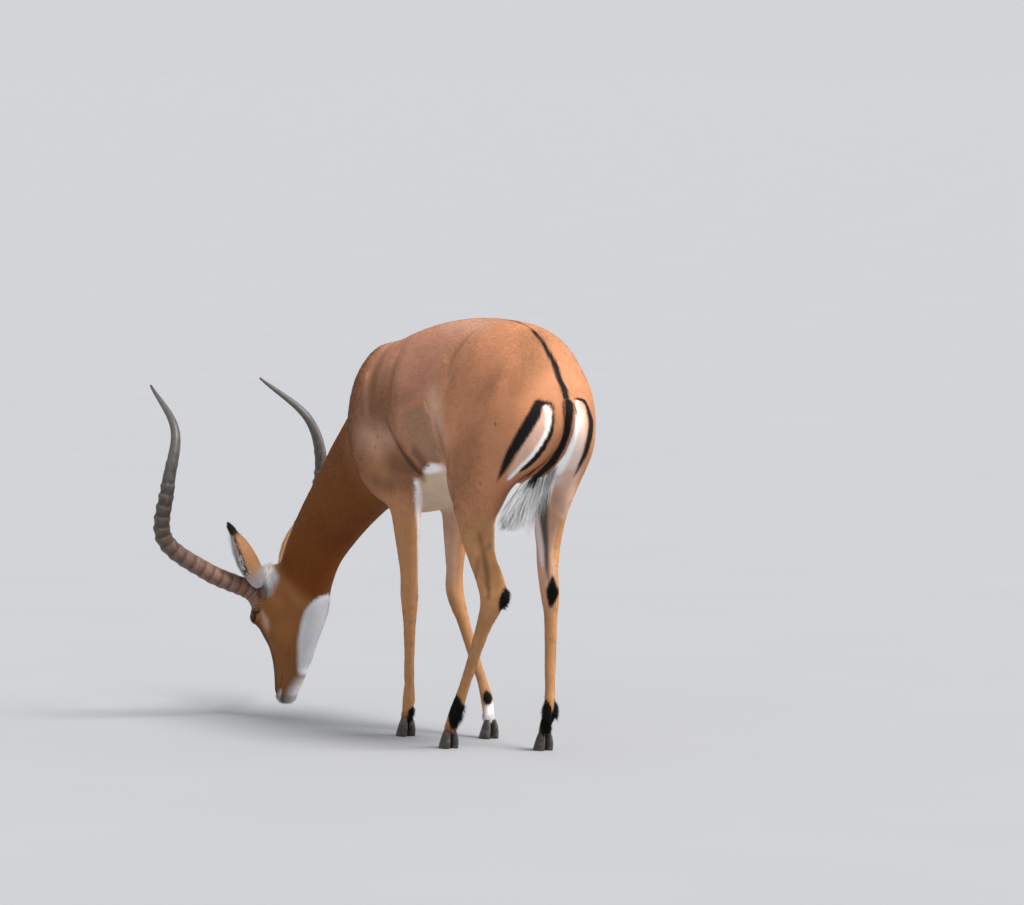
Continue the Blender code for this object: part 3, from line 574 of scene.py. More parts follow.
# Each stroke: layer, strength, path, widths along it, softness.
STRIPES = [
    # the dark line along the back, down to the tail
    ("black", 1.0, [(0, -.330, .944), (0, -.200, .932), (.009, -.112, .911), (.003, -.071, .876),
                    (-.006, -.051, .840), (-.003, -.019, .803), (.003, .008, .776), (.006, .014, .764)],
     (.002, .008, .011, .014, .017, .018, .019, .018), .0025),
    # pale ground on both sides of the tail
    ("pale", 0.85, [(.060, -.006, .760), (.064, -.004, .735), (.069, -.006, .705), (.079, -.020, .675),
                    (.088, -.048, .640), (.094, -.076, .612)], (.016, .032, .040, .036, .026, .014), .005),
    ("pale", 0.9, [(-.040, .004, .760), (-.036, .010, .715), (-.038, -.008, .670), (-.046, -.050, .625),
                   (-.058, -.100, .590), (-.076, -.150, .540)], (.016, .034, .044, .050, .060, .060), .010),
    # left buttock: outer stripe, hook at its top, inner stripe and white band
    ("black", 1.0, [(.062, -.015, .770), (.073, -.014, .745), (.087, -.024, .716), (.098, -.039, .688),
                    (.104, -.058, .662), (.108, -.081, .630), (.109, -.096, .610), (.110, -.107, .597)],
     (.022, .028, .028, .026, .022, .016, .009, .003), .003),
    ("black", 1.0, [(.068, -.016, .769), (.056, -.012, .771), (.047, -.006, .771), (.039, .000, .769),
                    (.036, .004, .758)], (.014, .012, .011, .010, .008), .0015),
    ("black", 1.0, [(.036, .004, .762), (.037, .008, .748), (.039, .007, .730), (.042, .003, .703),
                    (.049, -.012, .676), (.060, -.028, .648), (.074, -.050, .625), (.086, -.070, .610)],
     (.008, .008, .008, .010, .013, .017, .015, .005), .0015),
    ("white", 1.0, [(.050, -.003, .760), (.047, .002, .750), (.049, .003, .712), (.058, -.008, .684),
                    (.071, -.027, .654), (.084, -.054, .628), (.092, -.086, .602)],
     (.013, .014, .013, .012, .011, .011, .008), .002),
    # right buttock: white band with a soft edge, stripe, and hook at its top
    ("white", 1.0, [(-.026, .003, .768), (-.014, .013, .738), (-.009, .012, .705), (-.012, -.013, .671),
                    (-.018, -.047, .637), (-.026, -.085, .605)], (.012, .026, .034, .034, .032, .026), .006),
    ("white", 0.35, [(-.034, .006, .745), (-.030, .010, .705), (-.036, -.010, .668), (-.046, -.050, .628)],
     (.016, .030, .036, .030), .012),
    ("black", 1.0, [(-.054, -.012, .769), (-.061, -.004, .745), (-.067, -.006, .725), (-.065, -.008, .704),
                    (-.063, -.016, .675), (-.063, -.039, .637), (-.068, -.078, .600)],
     (.014, .020, .024, .024, .019, .013, .003), .0025),
    ("black", 1.0, [(-.020, .000, .777), (-.032, -.004, .776), (-.046, -.009, .773), (-.056, -.010, .764)],
     (.004, .008, .011, .014), .0015),
    # a painted highlight along the fold before the thigh, and the white corner of the belly
    ("pale", 0.9, [(.117, -.394, .751), (.118, -.371, .710), (.114, -.366, .672), (.108, -.360, .650),
                   (.097, -.366, .617)], (.003, .006, .006, .006, .005), .002),
    ("white", 1.0, [(.096, -.436, .594), (.100, -.394, .606), (.098, -.368, .606)],
     (.010, .026, .020), .005),
    # painted shade and painted highlights that model rump, thigh, shoulder and ribs
    ("umber", 0.45, [(.020, -.100, .900), (.060, -.060, .850), (.085, -.060, .800)],
     (.060, .080, .050), .030),
    ("umber", 0.45, [(.128, -.170, .680), (.133, -.210, .620), (.128, -.240, .560)],
     (.060, .110, .070), .035),
    ("umber", 0.35, [(.100, -.100, .850), (.112, -.120, .810), (.118, -.160, .770)],
     (.030, .060, .030), .030),
    ("umber", 0.50, [(.112, -.565, .800), (.119, -.556, .755), (.121, -.535, .715)],
     (.030, .060, .050), .030),
    ("umber", 0.35, [(.080, -.600, .870), (.060, -.560, .900)], (.040, .030), .030),
    # painted highlights on the front of the haunch and on the lower shoulder
    ("pale", 0.50, [(.119, -.362, .764), (.121, -.345, .738), (.121, -.334, .700)],
     (.040, .064, .040), .034),
    ("pale", 0.36, [(.118, -.655, .668), (.118, -.589, .656), (.120, -.540, .668)],
     (.040, .060, .040), .034),
    # painted shade low on the front of the haunch, on the upper shoulder, at the elbow and on the chest
    ("umber", 0.45, [(.117, -.340, .690), (.112, -.325, .652), (.134, -.267, .618), (.136, -.247, .572)],
     (.030, .040, .040, .030), .025),
    ("umber", 0.45, [(.110, -.655, .745), (.118, -.580, .745), (.119, -.510, .752), (.118, -.461, .760)],
     (.030, .050, .045, .020), .030),
    ("umber", 0.60, [(.110, -.535, .605), (.106, -.480, .606)], (.035, .035), .018),
    ("umber", 0.60, [(.122, -.600, .568), (.117, -.545, .560)], (.030, .030), .018),
    ("limb", 0.55, [(.118, -.620, .660), (.118, -.600, .620), (.112, -.580, .570)],
     (.030, .060, .060), .030),
    # painted shade before the shoulder blade and in the folds pressed in above: behind the shoulder blade,
    # before the hip and down the neck
    ("umber", 0.55, [(.060, -.640, .870), (.100, -.640, .800), (.116, -.620, .730)],
     (.030, .040, .040), .016),
    ("umber", 0.60, [(.083, -.562, .854), (.102, -.560, .815), (.114, -.552, .771), (.120, -.543, .732)],
     (.014, .024, .026, .016), .010),
    ("umber", 0.60, [(.051, -.278, .924), (.083, -.291, .892), (.103, -.309, .852), (.114, -.308, .818)],
     (.010, .020, .022, .012), .010),
    ("umber", 0.60, [(.102, -.698, .775), (.108, -.736, .717), (.108, -.746, .677), (.114, -.727, .640),
                     (.114, -.709, .608), (.121, -.662, .584)], (.006, .018, .022, .020, .018, .008), .010),
    # painted highlights on the front edge of the haunch and along the top of the back
    ("pale", 0.35, [(.124, -.330, .770), (.126, -.330, .700), (.128, -.310, .640)],
     (.030, .050, .040), .025),
    ("pale", 0.30, [(.040, -.420, .925), (.050, -.330, .925), (.045, -.250, .925)],
     (.030, .060, .040), .030),
    # painted shade in the crease behind the shoulder, down to the belly, and beside it
    ("dark", 0.9, [(.122, -.554, .712), (.121, -.513, .664), (.113, -.490, .635), (.107, -.470, .614),
                   (.098, -.449, .593), (.094, -.446, .575), (.088, -.450, .550), (.080, -.458, .520)],
     (.003, .009, .013, .016, .018, .020, .018, .010), .008),
    ("umber", 0.7, [(.112, -.440, .640), (.105, -.425, .620), (.097, -.440, .600)],
     (.030, .034, .020), .014),
    # black patches on both hocks
    ("black", 1.0, [(.070, -.128, .366), (.069, -.131, .344), (.071, -.138, .318), (.073, -.150, .298)],
     (.012, .032, .026, .008), .003),
    ("black", 1.0, [(-.061, -.156, .378), (-.059, -.155, .350), (-.059, -.158, .322)],
     (.012, .034, .014), .003),
    # the pale inside of the right hind leg, with a grey band of painted shade down it
    ("throat", 0.7, [(-.050, -.222, .560), (-.053, -.222, .535), (-.057, -.218, .501), (-.058, -.210, .469),
                     (-.058, -.200, .437), (-.057, -.190, .405)], (.016, .030, .032, .028, .022, .008), .006),
    ("slate", 1.0, [(-.044, -.150, .612), (-.053, -.176, .575), (-.058, -.186, .540), (-.060, -.190, .502),
                    (-.063, -.188, .470), (-.064, -.184, .437), (-.061, -.177, .406), (-.059, -.169, .380)],
     (.026, .034, .032, .026, .020, .016, .012, .006), .006),
    # shade of the left hind leg, beside the big tendon and down the front
    ("umber", 0.85, [(.104, -.189, .480), (.095, -.190, .444), (.092, -.180, .410), (.093, -.170, .381),
                     (.096, -.161, .343)], (.006, .012, .013, .011, .006), .007),
    ("umber", 0.65, [(.086, -.173, .456), (.101, -.198, .422), (.099, -.212, .380)],
     (.006, .012, .006), .007),
    ("dark", 0.6, [(.104, -.276, .480), (.098, -.262, .430), (.090, -.236, .370), (.084, -.215, .320)],
     (.006, .010, .008, .004), .006),
    ("dark", 0.45, [(.079, -.205, .305), (.084, -.262, .200), (.087, -.300, .120)],
     (.004, .010, .006), .004),
    # black and white marks above the hooves, hind feet first
    ("black", 1.0, [(.095, -.294, .110), (.094, -.301, .090), (.089, -.309, .070), (.087, -.316, .056)],
     (.022, .046, .044, .016), .004),
    ("black", 1.0, [(-.070, -.150, .116), (-.076, -.158, .088), (-.068, -.172, .058)],
     (.010, .020, .014), .003),
    ("black", 1.0, [(-.050, -.156, .112), (-.048, -.164, .080), (-.056, -.182, .050)],
     (.010, .020, .018), .003),
    ("black", 1.0, [(-.062, -.152, .088), (-.062, -.170, .056)], (.010, .024), .004),
    ("black", 1.0, [(-.071, -.440, .110), (-.073, -.438, .090)], (.018, .026), .003),
    ("white", 1.0, [(-.080, -.432, .066), (-.082, -.432, .040)], (.030, .046), .010),
    ("black", 1.0, [(.044, -.556, .052), (.046, -.566, .032)], (.022, .034), .005),
    # a painted highlight along the ridge of the shoulder blade
    ("pale", 0.30, [(.099, -.676, .815), (.099, -.670, .791), (.107, -.660, .752), (.113, -.641, .718),
                    (.118, -.611, .691)], (.004, .012, .012, .012, .004), .010),
    # painted shade in dark lines down the shaded sides of the forelegs, and white inside the left one
    ("dark", 0.8, [(-.082, -.604, .480), (-.077, -.606, .340), (-.080, -.548, .220), (-.082, -.482, .110)],
     (.010, .018, .016, .010), .006),
    ("dark", 0.6, [(.100, -.560, .480), (.078, -.570, .360), (.072, -.572, .320), (.060, -.584, .240),
                   (.053, -.592, .120)], (.004, .012, .016, .012, .006), .006),
    ("white", 0.85, [(.092, -.470, .578), (.083, -.476, .544), (.071, -.488, .509), (.060, -.500, .470),
                     (.054, -.514, .420), (.052, -.526, .380)], (.010, .018, .020, .018, .014, .004), .004),
]
# Small dark ticks of hair on shoulder and thigh.
TICKS = [(.119, -.593, .666), (.119, -.562, .652), (.117, -.603, .641), (.122, -.660, .613),
         (.124, -.090, .722), (.127, -.146, .591)]
# The same on both sides of the head, with the path in (left, forward, up).
FACE_STROKES = [
    # the blaze, nostrils, chin and lips
    ("dark", 1.0, [(0, .028, -.020), (0, .012, -.070), (0, -.006, -.110), (0, -.026, -.160),
                   (0, -.040, -.200)], (.020, .034, .030, .028, .032), .008),
    ("black", 1.0, [(0, -.044, -.225), (0, -.048, -.244)], (.016, .022), .004),
    ("black", 1.0, [(.006, -.046, -.230), (.017, -.056, -.222)], (.012, .006), .003),
    ("throat", 0.7, [(.026, -.076, -.222), (.022, -.068, -.238), (.006, -.060, -.250)],
     (.006, .010, .008), .006),
    ("throat", 0.8, [(0, -.112, -.196), (0, -.102, -.218), (0, -.088, -.246)], (.022, .030, .030), .012),
    ("dark", 0.9, [(.024, -.084, -.186), (.025, -.076, -.212), (.022, -.067, -.238)],
     (.002, .003, .003), .002),
    # round the eye: white brow, pale cheek, black lids and tear line
    ("white", 0.75, [(.046, -.002, -.036), (.052, -.016, -.030), (.054, -.030, -.034)],
     (.003, .006, .003), .003),
    ("pale", 0.70, [(.053, -.044, -.048), (.054, -.050, -.062), (.053, -.052, -.082), (.048, -.046, -.100)],
     (.006, .020, .020, .008), .012),
    ("throat", 0.5, [(.054, -.046, -.046), (.053, -.054, -.066), (.051, -.056, -.080)],
     (.006, .010, .006), .006),
    ("black", 1.0, [(.045, -.002, -.048), (.050, -.018, -.039), (.054, -.036, -.048), (.054, -.044, -.062)],
     (.009, .008, .008, .006), .003),
    ("black", 1.0, [(.042, .002, -.066), (.046, -.014, -.080), (.051, -.034, -.076)],
     (.014, .013, .008), .003),
    ("black", 0.95, [(.044, .004, -.056), (.042, .000, -.085), (.038, -.010, -.115)],
     (.018, .018, .008), .005),
    # the root of the ear, the crown and the nape
    ("throat", 0.80, [(.034, -.050, .046), (.040, -.060, .030), (.047, -.056, .012)],
     (.028, .040, .030), .012),
    ("slate", 0.85, [(.047, -.048, .008), (.051, -.060, -.002)], (.020, .016), .008),
    ("slate", 0.5, [(.036, -.064, .036), (.040, -.072, .016)], (.010, .006), .006),
    ("umber", 0.8, [(.010, -.010, .020), (.030, -.026, .030)], (.020, .016), .006),
    ("nape", 0.8, [(.012, -.112, .028), (.000, -.128, .024), (-.020, -.160, .012)],
     (.020, .030, .020), .010),
]


def in_head_frame(points):
    """Left, forward and up of each place, from the midpoint of the horn bases."""
    from_base = points - HEAD_BASE
    return from_base @ LEFTWARD, from_base @ FORWARD, from_base[:, 2]


def line_at(line, values):
    """The second number of a line's pairs where its first has these values."""
    return np.interp(values, [first for first, _ in line], [second for _, second in line])


# %% Large regions of the coat
def belly_cover(x, y, z):
    """The white underside, painted a darker cream as shade, but not the outer side of the arms."""
    belly = step(line_at(BELLY_EDGE, y) - z, 0.004) * step(0.118 - np.abs(x), 0.004)
    belly *= step(y + 0.640, 0.02) * step(z - 0.490, 0.012)
    belly *= np.maximum(step(-0.330 - y, 0.012), step(0.045 - np.abs(x), 0.012) * step(-0.180 - y, 0.03))
    outer_arm = step(np.abs(x) - 0.070, 0.008) * step(-0.475 - y, 0.01)
    return belly * (1 - outer_arm)


def inner_leg_cover(x, y, z, normals):
    """The pale insides of the upper legs."""
    inward = step(-normals[:, 0] * np.sign(x) - 0.45, 0.25)
    return inward * step(0.620 - z, 0.04) * step(z - 0.330, 0.06) * step(y + 0.66, 0.02)


def region_layers(points, normals, head):
    """The large regions of neck, trunk and legs, and empty layers for the strokes."""
    x, y, z = points.T
    near_side = step(x + 0.01, 0.04)
    neck = step(line_at(NECK_REAR, z) - y, 0.045) * step(z - 0.05, 0.01) * (1 - head)
    saddle = step(z - line_at(SADDLE_EDGE, y), 0.007) * step(line_at(SADDLE_REAR, z) - y, 0.090)
    ahead = step(line_at(FLANK_FRONT, z) - y, 0.120 - 0.065 * near_side)
    # painted shade: the shoulder is darkened, most strongly on the near (left) side
    shoulder = (0.40 + 0.55 * near_side) * ahead * step(y + 0.74, 0.02) * step(z - 0.540, 0.040)
    flank = step(line_at(SADDLE_EDGE, y) - z, 0.007) * (1 - ahead)
    flank *= step(line_at(FLANK_REAR, z) - y, 0.060 - 0.052 * near_side) * (0.55 + 0.45 * near_side)
    inner = inner_leg_cover(x, y, z, normals)
    groin = inner * step(z - 0.50, 0.04) * step(y + 0.32, 0.03) * step(0.050 - np.abs(x), 0.01)
    layers = {
        "saddle": saddle,
        "shoulder": shoulder * step(0.800 - z, 0.060),
        "flank": flank * (1 - head),
        "neck": neck,
        "nape": neck * step(0.470 - z, 0.150),
        "face": head,
        "limb": step(0.520 - z, 0.045) * step(y + 0.690, 0.01),
        "cream": belly_cover(x, y, z),
        "pale": 0.6 * inner,
        "slate": np.zeros(len(points)),
        "umber": np.zeros(len(points)),
        "white": 0.9 * groin,
        "dark": np.zeros(len(points)),
        "black": np.zeros(len(points)),
    }
    for name in ("saddle", "shoulder", "limb", "cream", "pale"):
        layers[name] = layers[name] * (1 - neck) * (1 - head)
    return layers


# %% Regions of the head
def add_head_regions(layers, points, near):
    """The white throat, the dark front of the face and the brown muzzle."""
    _, forward, up = in_head_frame(points)
    z = points[:, 2]
    throat = step(line_at(THROAT_FRONT, z) - forward, 0.006) * step(0.292 - z, 0.008) * step(z - 0.104, 0.012)
    layers["throat"] = throat * near
    face_front = near * step(0.030 - up, 0.02)
    before_line = forward - line_at(FACE_FRONT, up)
    muzzle = 0.5 * near * step(-0.165 - up, 0.06) * (1 - layers["throat"])
    layers["umber"] = np.maximum(0.95 * face_front * step(before_line, 0.014), muzzle)
    layers["dark"] = 0.90 * face_front * step(before_line - 0.014, 0.012)


# %% The map of the coat
TICK_RADIUS, TICK_SOFTNESS = 0.0035, 0.0015
HEAD_SPAN = 0.26
# A slanting plane parts head and neck: how far forward and up it lies, and which way it faces.
PARTING_FORWARD, PARTING_UP = -0.045, 0.075
FACING_FORWARD, FACING_UP = 0.596, -0.803


def strengthen(layers, name, strength):
    """Let a layer show at least this strongly."""
    layers[name] = np.maximum(layers[name], strength)


def markings(points, normals):
    """How strongly each colour of the coat shows at each place of the hide."""
    _, forward, up = in_head_frame(points)
    near = np.linalg.norm(points - HEAD_MIDDLE, axis=1) < HEAD_SPAN
    beyond = (forward - PARTING_FORWARD) * FACING_FORWARD + (up - PARTING_UP) * FACING_UP
    head = step(beyond, 0.030) * near
    layers = region_layers(points, normals, head)
    add_head_regions(layers, points, near)
    for layer, strength, path, widths, soft in STRIPES:
        strengthen(layers, layer, strength * stroke(points, path, widths, soft))
    for tick in TICKS:
        away = np.linalg.norm(points - np.array(tick), axis=1)
        strengthen(layers, "dark", 0.85 * step(TICK_RADIUS - away, TICK_SOFTNESS))
    for side in SIDES.values():
        _, radius, outside = almond(points, side)
        rim = step(DARK_LID - outside, DARK_LID_FADE) * step(EYE_NEIGHBOURHOOD - radius, 0.002)
        strengthen(layers, "black", 0.95 * rim)
    close = np.flatnonzero(near)
    for layer, strength, path, widths, soft in FACE_STROKES:
        for spots in both_sides(path):
            mark = np.zeros(len(points))
            mark[close] = strength * stroke(points[close], spots, widths, soft)
            strengthen(layers, layer, mark)
    return layers


print("strokes of colour on the body:", len(STRIPES), "on each side of the face:", len(FACE_STROKES))

# %% [markdown]
# ## Writing materials as sums
# A material is a small program.  Wrapping a socket in a class with operators lets shader
# maths read like ordinary Python: `1 - mask` adds the node by itself.

# %% The wire and the finish
class Wire:
    """What flows out of a node's socket, ready for Python expressions."""

    def __init__(self, finish, socket):
        self.finish = finish
        self.socket = socket

    def maths(self, operation, first, second):
        return self.finish.node("ShaderNodeMath", {"operation": operation}, {0: first, 1: second})

    def __add__(self, other):
        return self.maths("ADD", self, other)

    def __sub__(self, other):
        return self.maths("SUBTRACT", self, other)

    def __rsub__(self, other):
        return self.maths("SUBTRACT", other, self)

    def __mul__(self, other):
        return self.maths("MULTIPLY", self, other)

    __radd__ = __add__
    __rmul__ = __mul__


class Finish:
    """One material, built around its Principled shader."""

    def __init__(self, name, **settings):
        self.material = bpy.data.materials.new(name)
        self.material.use_nodes = True
        self.tree = self.material.node_tree
        self.shader = self.tree.nodes["Principled BSDF"]
        for socket, value in settings.items():
            self.shader.inputs[socket.replace("_", " ")].default_value = value

    def node(self, kind, settings, inputs, output=0):
        """Any node: its settings first, then the values or links of its sockets."""
        node = self.tree.nodes.new(kind)
        for name, value in settings.items():
            if name == "stops":
                while len(node.color_ramp.elements) < len(value):
                    node.color_ramp.elements.new(0.5)
                for element, (position, colour) in zip(node.color_ramp.elements, value):
                    element.position = position
                    element.color = (*colour, 1.0)
            else:
                setattr(node, name, value)
        for name, value in inputs.items():
            self.plug(node.inputs[name], value)
        return Wire(self, node.outputs[output])

    def plug(self, socket, value):
        """Feed a socket from a wire, or set its own value."""
        if isinstance(value, Wire):
            self.tree.links.new(value.socket, socket)
        elif socket.type == "RGBA" and len(value) == 3:
            socket.default_value = (*value, 1.0)
        else:
            socket.default_value = value

    def layer(self, name):
        """Numbers kept on the mesh under this name."""
        return self.node("ShaderNodeAttribute", {"attribute_name": name}, {}, "Fac")

    def blend(self, factor, first, second):
        """A colour between two others."""
        return self.node("ShaderNodeMix", {"data_type": "RGBA"}, {0: factor, 6: first, 7: second}, 2)

    def noise(self, stretch, scale, detail=3.0, roughness=0.55):
        """Noise in space, drawn out along an axis by dividing its scale there."""
        place = self.node("ShaderNodeTexCoord", {}, {}, "Object")
        drawn = self.node("ShaderNodeVectorMath", {"operation": "MULTIPLY"}, {0: place, 1: stretch})
        return self.node("ShaderNodeTexNoise", {}, {
            "Vector": drawn, "Scale": scale, "Detail": detail, "Roughness": roughness}, "Fac")

    def between(self, value, low, high):
        """0 up to low, 1 from high on, and a straight line between."""
        return self.node("ShaderNodeMapRange", {"clamp": True}, {
            "Value": value, "From Min": low, "From Max": high}, "Result")

    def relief(self, height, distance, strength=1.0):
        """Feed the shader's normal from a height."""
        bump = self.node("ShaderNodeBump", {}, {
            "Height": height, "Distance": distance, "Strength": strength}, "Normal")
        self.plug(self.shader.inputs["Normal"], bump)

    def colour(self, value):
        """Feed the shader's colour."""
        self.plug(self.shader.inputs["Base Color"], value)


# %% [markdown]
# ## The coat's finish
# Hair is a pale shaft with a darker tip, lying in streaks.  On the skin the streaks are
# drawn as bump and as faint light and dark; they run back on the trunk, down on the legs
# and along the neck.  The tufts of hair above use the same colours, taken at their roots.

# %% Coat colours
TAN = (0.480, 0.210, 0.106)
COAT_LAYERS = (
    ("saddle", (0.430, 0.198, 0.122)),
    # painted shade over the shoulder
    ("shoulder", (0.240, 0.108, 0.054)),
    ("neck", (0.175, 0.062, 0.017)),
    ("nape", (0.140, 0.038, 0.005)),
    ("face", (0.230, 0.092, 0.028)),
    ("limb", (0.410, 0.202, 0.088)),
    ("flank", (0.330, 0.178, 0.108)),
    # the white belly painted a darker cream, as shade under the body
    ("cream", (0.600, 0.450, 0.330)),
    ("pale", (0.700, 0.460, 0.350)),
    ("slate", (0.085, 0.083, 0.092)),
    ("umber", (0.140, 0.060, 0.026)),
    ("dark", (0.050, 0.023, 0.012)),
    ("throat", (0.880, 0.920, 1.000)),
    ("white", (0.930, 0.930, 0.940)),
    ("black", (0.007, 0.006, 0.006)),
)
TAN_DARKER = 0.80
DARKER, LIGHTER, PALEST = 0.82, 1.18, 0.95


def darker_and_lighter(colour, darker=DARKER):
    """A colour's darker version and its lighter one."""
    return tuple(part * darker for part in colour), tuple(min(part * LIGHTER, PALEST) for part in colour)


def coat_colour(finish, variation):
    """The coat's colours laid over each other, lightened and darkened by a variation."""
    colour = finish.blend(variation, *darker_and_lighter(TAN, TAN_DARKER))
    for name, shade in COAT_LAYERS:
        shades = darker_and_lighter(shade)
        colour = finish.blend(finish.layer(name), colour, finish.blend(variation, *shades))
    return colour


def streaks(finish, across, along, detail=3.0):
    """Streaks that follow the lie of the coat: down the legs, along the neck, back elsewhere."""
    back = finish.noise((across, along, across), 1.0, detail)
    down = finish.noise((across, across, along), 1.0, detail)
    slant = finish.noise((across, (across + along) / 2, (across + along) / 2), 1.0, detail)
    on_limb = finish.layer("runs_down")
    on_neck = finish.layer("runs_slanting")
    return back * (1 - on_limb) * (1 - on_neck) + down * on_limb + slant * on_neck * (1 - on_limb)


def skin_finish():
    """The hide with its short lying hair."""
    finish = Finish("hide_and_short_coat", Roughness=0.70, Specular_IOR_Level=0.12)
    clumps = streaks(finish, 190.0, 45.0)
    hairs = streaks(finish, 900.0, 90.0, 2.0)
    mottles = finish.noise((1.0, 1.0, 1.0), 17.0, 4.0)
    finish.colour(coat_colour(finish, clumps * 0.40 + hairs * 0.20 + mottles * 1.30 - 0.50))
    finish.relief(clumps * 0.7 + hairs * 0.3, 0.0022, 0.55)
    return finish.material


def hair_finish():
    """Hair tufts: the colour of the place they grow from, a little lighter or darker each."""
    finish = Finish("hair_tufts", Roughness=0.66, Specular_IOR_Level=0.12)
    mottles = finish.noise((1.0, 1.0, 1.0), 17.0, 4.0)
    along_hair = finish.layer("shade") * 0.40 + finish.layer("tip") * 0.22
    finish.colour(coat_colour(finish, along_hair + mottles * 1.30 - 0.47))
    return finish.material


COAT_SKIN = skin_finish()
COAT_HAIR = hair_finish()
print("coat finishes use", len(COAT_LAYERS), "layers of colour")

# %% The skin becomes a piece
skin = bpy.data.objects.new("skin", skin_mesh)
bpy.context.scene.collection.objects.link(skin)
COAT_DEPTH = 0.0020
COAT_THINNER = 0.6
skin_normals = normals_of(skin_mesh)
thin_coat = np.maximum(nearness_to_head(skin_points), nearness_to_limb(skin_points))
skin_points = corners_of(skin_mesh) - skin_normals * (COAT_DEPTH * (1 - COAT_THINNER * thin_coat))[:, None]
put_corners(skin_mesh, skin_points)
skin_mesh.polygons.foreach_set("use_smooth", np.full(len(skin_mesh.polygons), True))


def lie_layers(points):
    """Where the coat runs down, and where it runs slanting along the neck."""
    limb = step(0.60 - points[:, 2], 0.06) * step(points[:, 1] + 0.70, 0.02)
    return {"runs_down": limb, "runs_slanting": step(-0.70 - points[:, 1], 0.04)}


note(skin, **markings(skin_points, skin_normals), **lie_layers(skin_points))
finish_piece(skin, COAT_SKIN, "coat", *FLESH)

# %% [markdown]
# ## Tufts of hair
# A short coat lies so flat that most of it is bump; but it softens every outline, and it
# breaks where colours meet.  Particle hair would be lost when the model leaves Blender, so
# each tuft is a thin closed blade.  A tuft starts at a seeded random root on the skin, lies
# along the coat's own direction, and keeps the markings of its root.

# %% Roots on the skin
def surface_of(piece):
    """Corners, normals and triangles of a piece, in the animal's frame."""
    piece.data.calc_loop_triangles()
    triangles = np.empty(len(piece.data.loop_triangles) * 3, dtype=np.int32)
    piece.data.loop_triangles.foreach_get("vertices", triangles)
    return corners_of(piece.data), normals_of(piece.data), triangles.reshape(-1, 3)


_, skin_normals, skin_triangles = surface_of(skin)
skin_surface = (skin_points, skin_normals, skin_triangles)


def scatter(points, normals, triangles, weight, count, chance):
    """Random roots, spread by area times weight, with the normals there."""
    corners = points[triangles]
    one_edge, other_edge = corners[:, 1] - corners[:, 0], corners[:, 2] - corners[:, 0]
    area = 0.5 * np.linalg.norm(np.cross(one_edge, other_edge), axis=1)
    reach = np.cumsum(area * weight(corners.mean(axis=1), unit(normals[triangles].mean(axis=1))))
    chosen = np.searchsorted(reach, chance.random(count) * reach[-1])
    first, second = chance.random(count), chance.random(count)
    over = first + second > 1
    first, second = np.where(over, 1 - first, first), np.where(over, 1 - second, second)
    share = np.stack([1 - first - second, first, second], axis=1)[..., None]
    picked = triangles[chosen]
    return (points[picked] * share).sum(axis=1), unit((normals[picked] * share).sum(axis=1))


# %% The lie of the coat
LIE_BACK = np.array((0.0, 1.0, -0.22))
LIE_HAUNCH = np.array((0.0, 0.45, -0.90))
LIE_DOWN = np.array((0.0, 0.10, -1.0))
LIE_BUTTOCK = np.array((0.27, -0.47, -0.85))
LIE_NECK = np.array((-0.16, 0.62, 0.77))
LIE_FACE = np.array((0.0, 0.25, 1.0))


def lie_of_coat(points, normals):
    """The way the hair points at each root: back, down the legs, and up the face."""
    z, y = points[:, 2], points[:, 1]
    haunch = (step(0.80 - z, 0.10) * step(y + 0.30, 0.10))[:, None]
    limb = nearness_to_limb(points)[:, None]
    neck = step(-0.72 - y, 0.06)[:, None]
    face = nearness_to_head(points)[:, None]
    buttock = (step(0.80 - z, 0.02) * step(y + 0.12, 0.03) * step(z - 0.56, 0.02))[:, None]
    outwards = np.stack([np.sign(points[:, 0] - 0.02), np.ones(len(z)), np.ones(len(z))], axis=1)
    lie = LIE_BACK * (1 - haunch) + LIE_HAUNCH * haunch
    lie = lie * (1 - buttock) + LIE_BUTTOCK * outwards * buttock
    lie = lie * (1 - limb) + LIE_DOWN * limb
    lie = lie * (1 - neck) + LIE_NECK * neck
    lie = lie * (1 - face) + LIE_FACE * face
    return unit(lie - normals * (lie * normals).sum(axis=1, keepdims=True))


# %% Blades of hair
HAIR_SWAY = 0.07
BLADE_RIDGE = 0.30
BLADE_SUNK = 0.0007
ROUNDING = 0.22


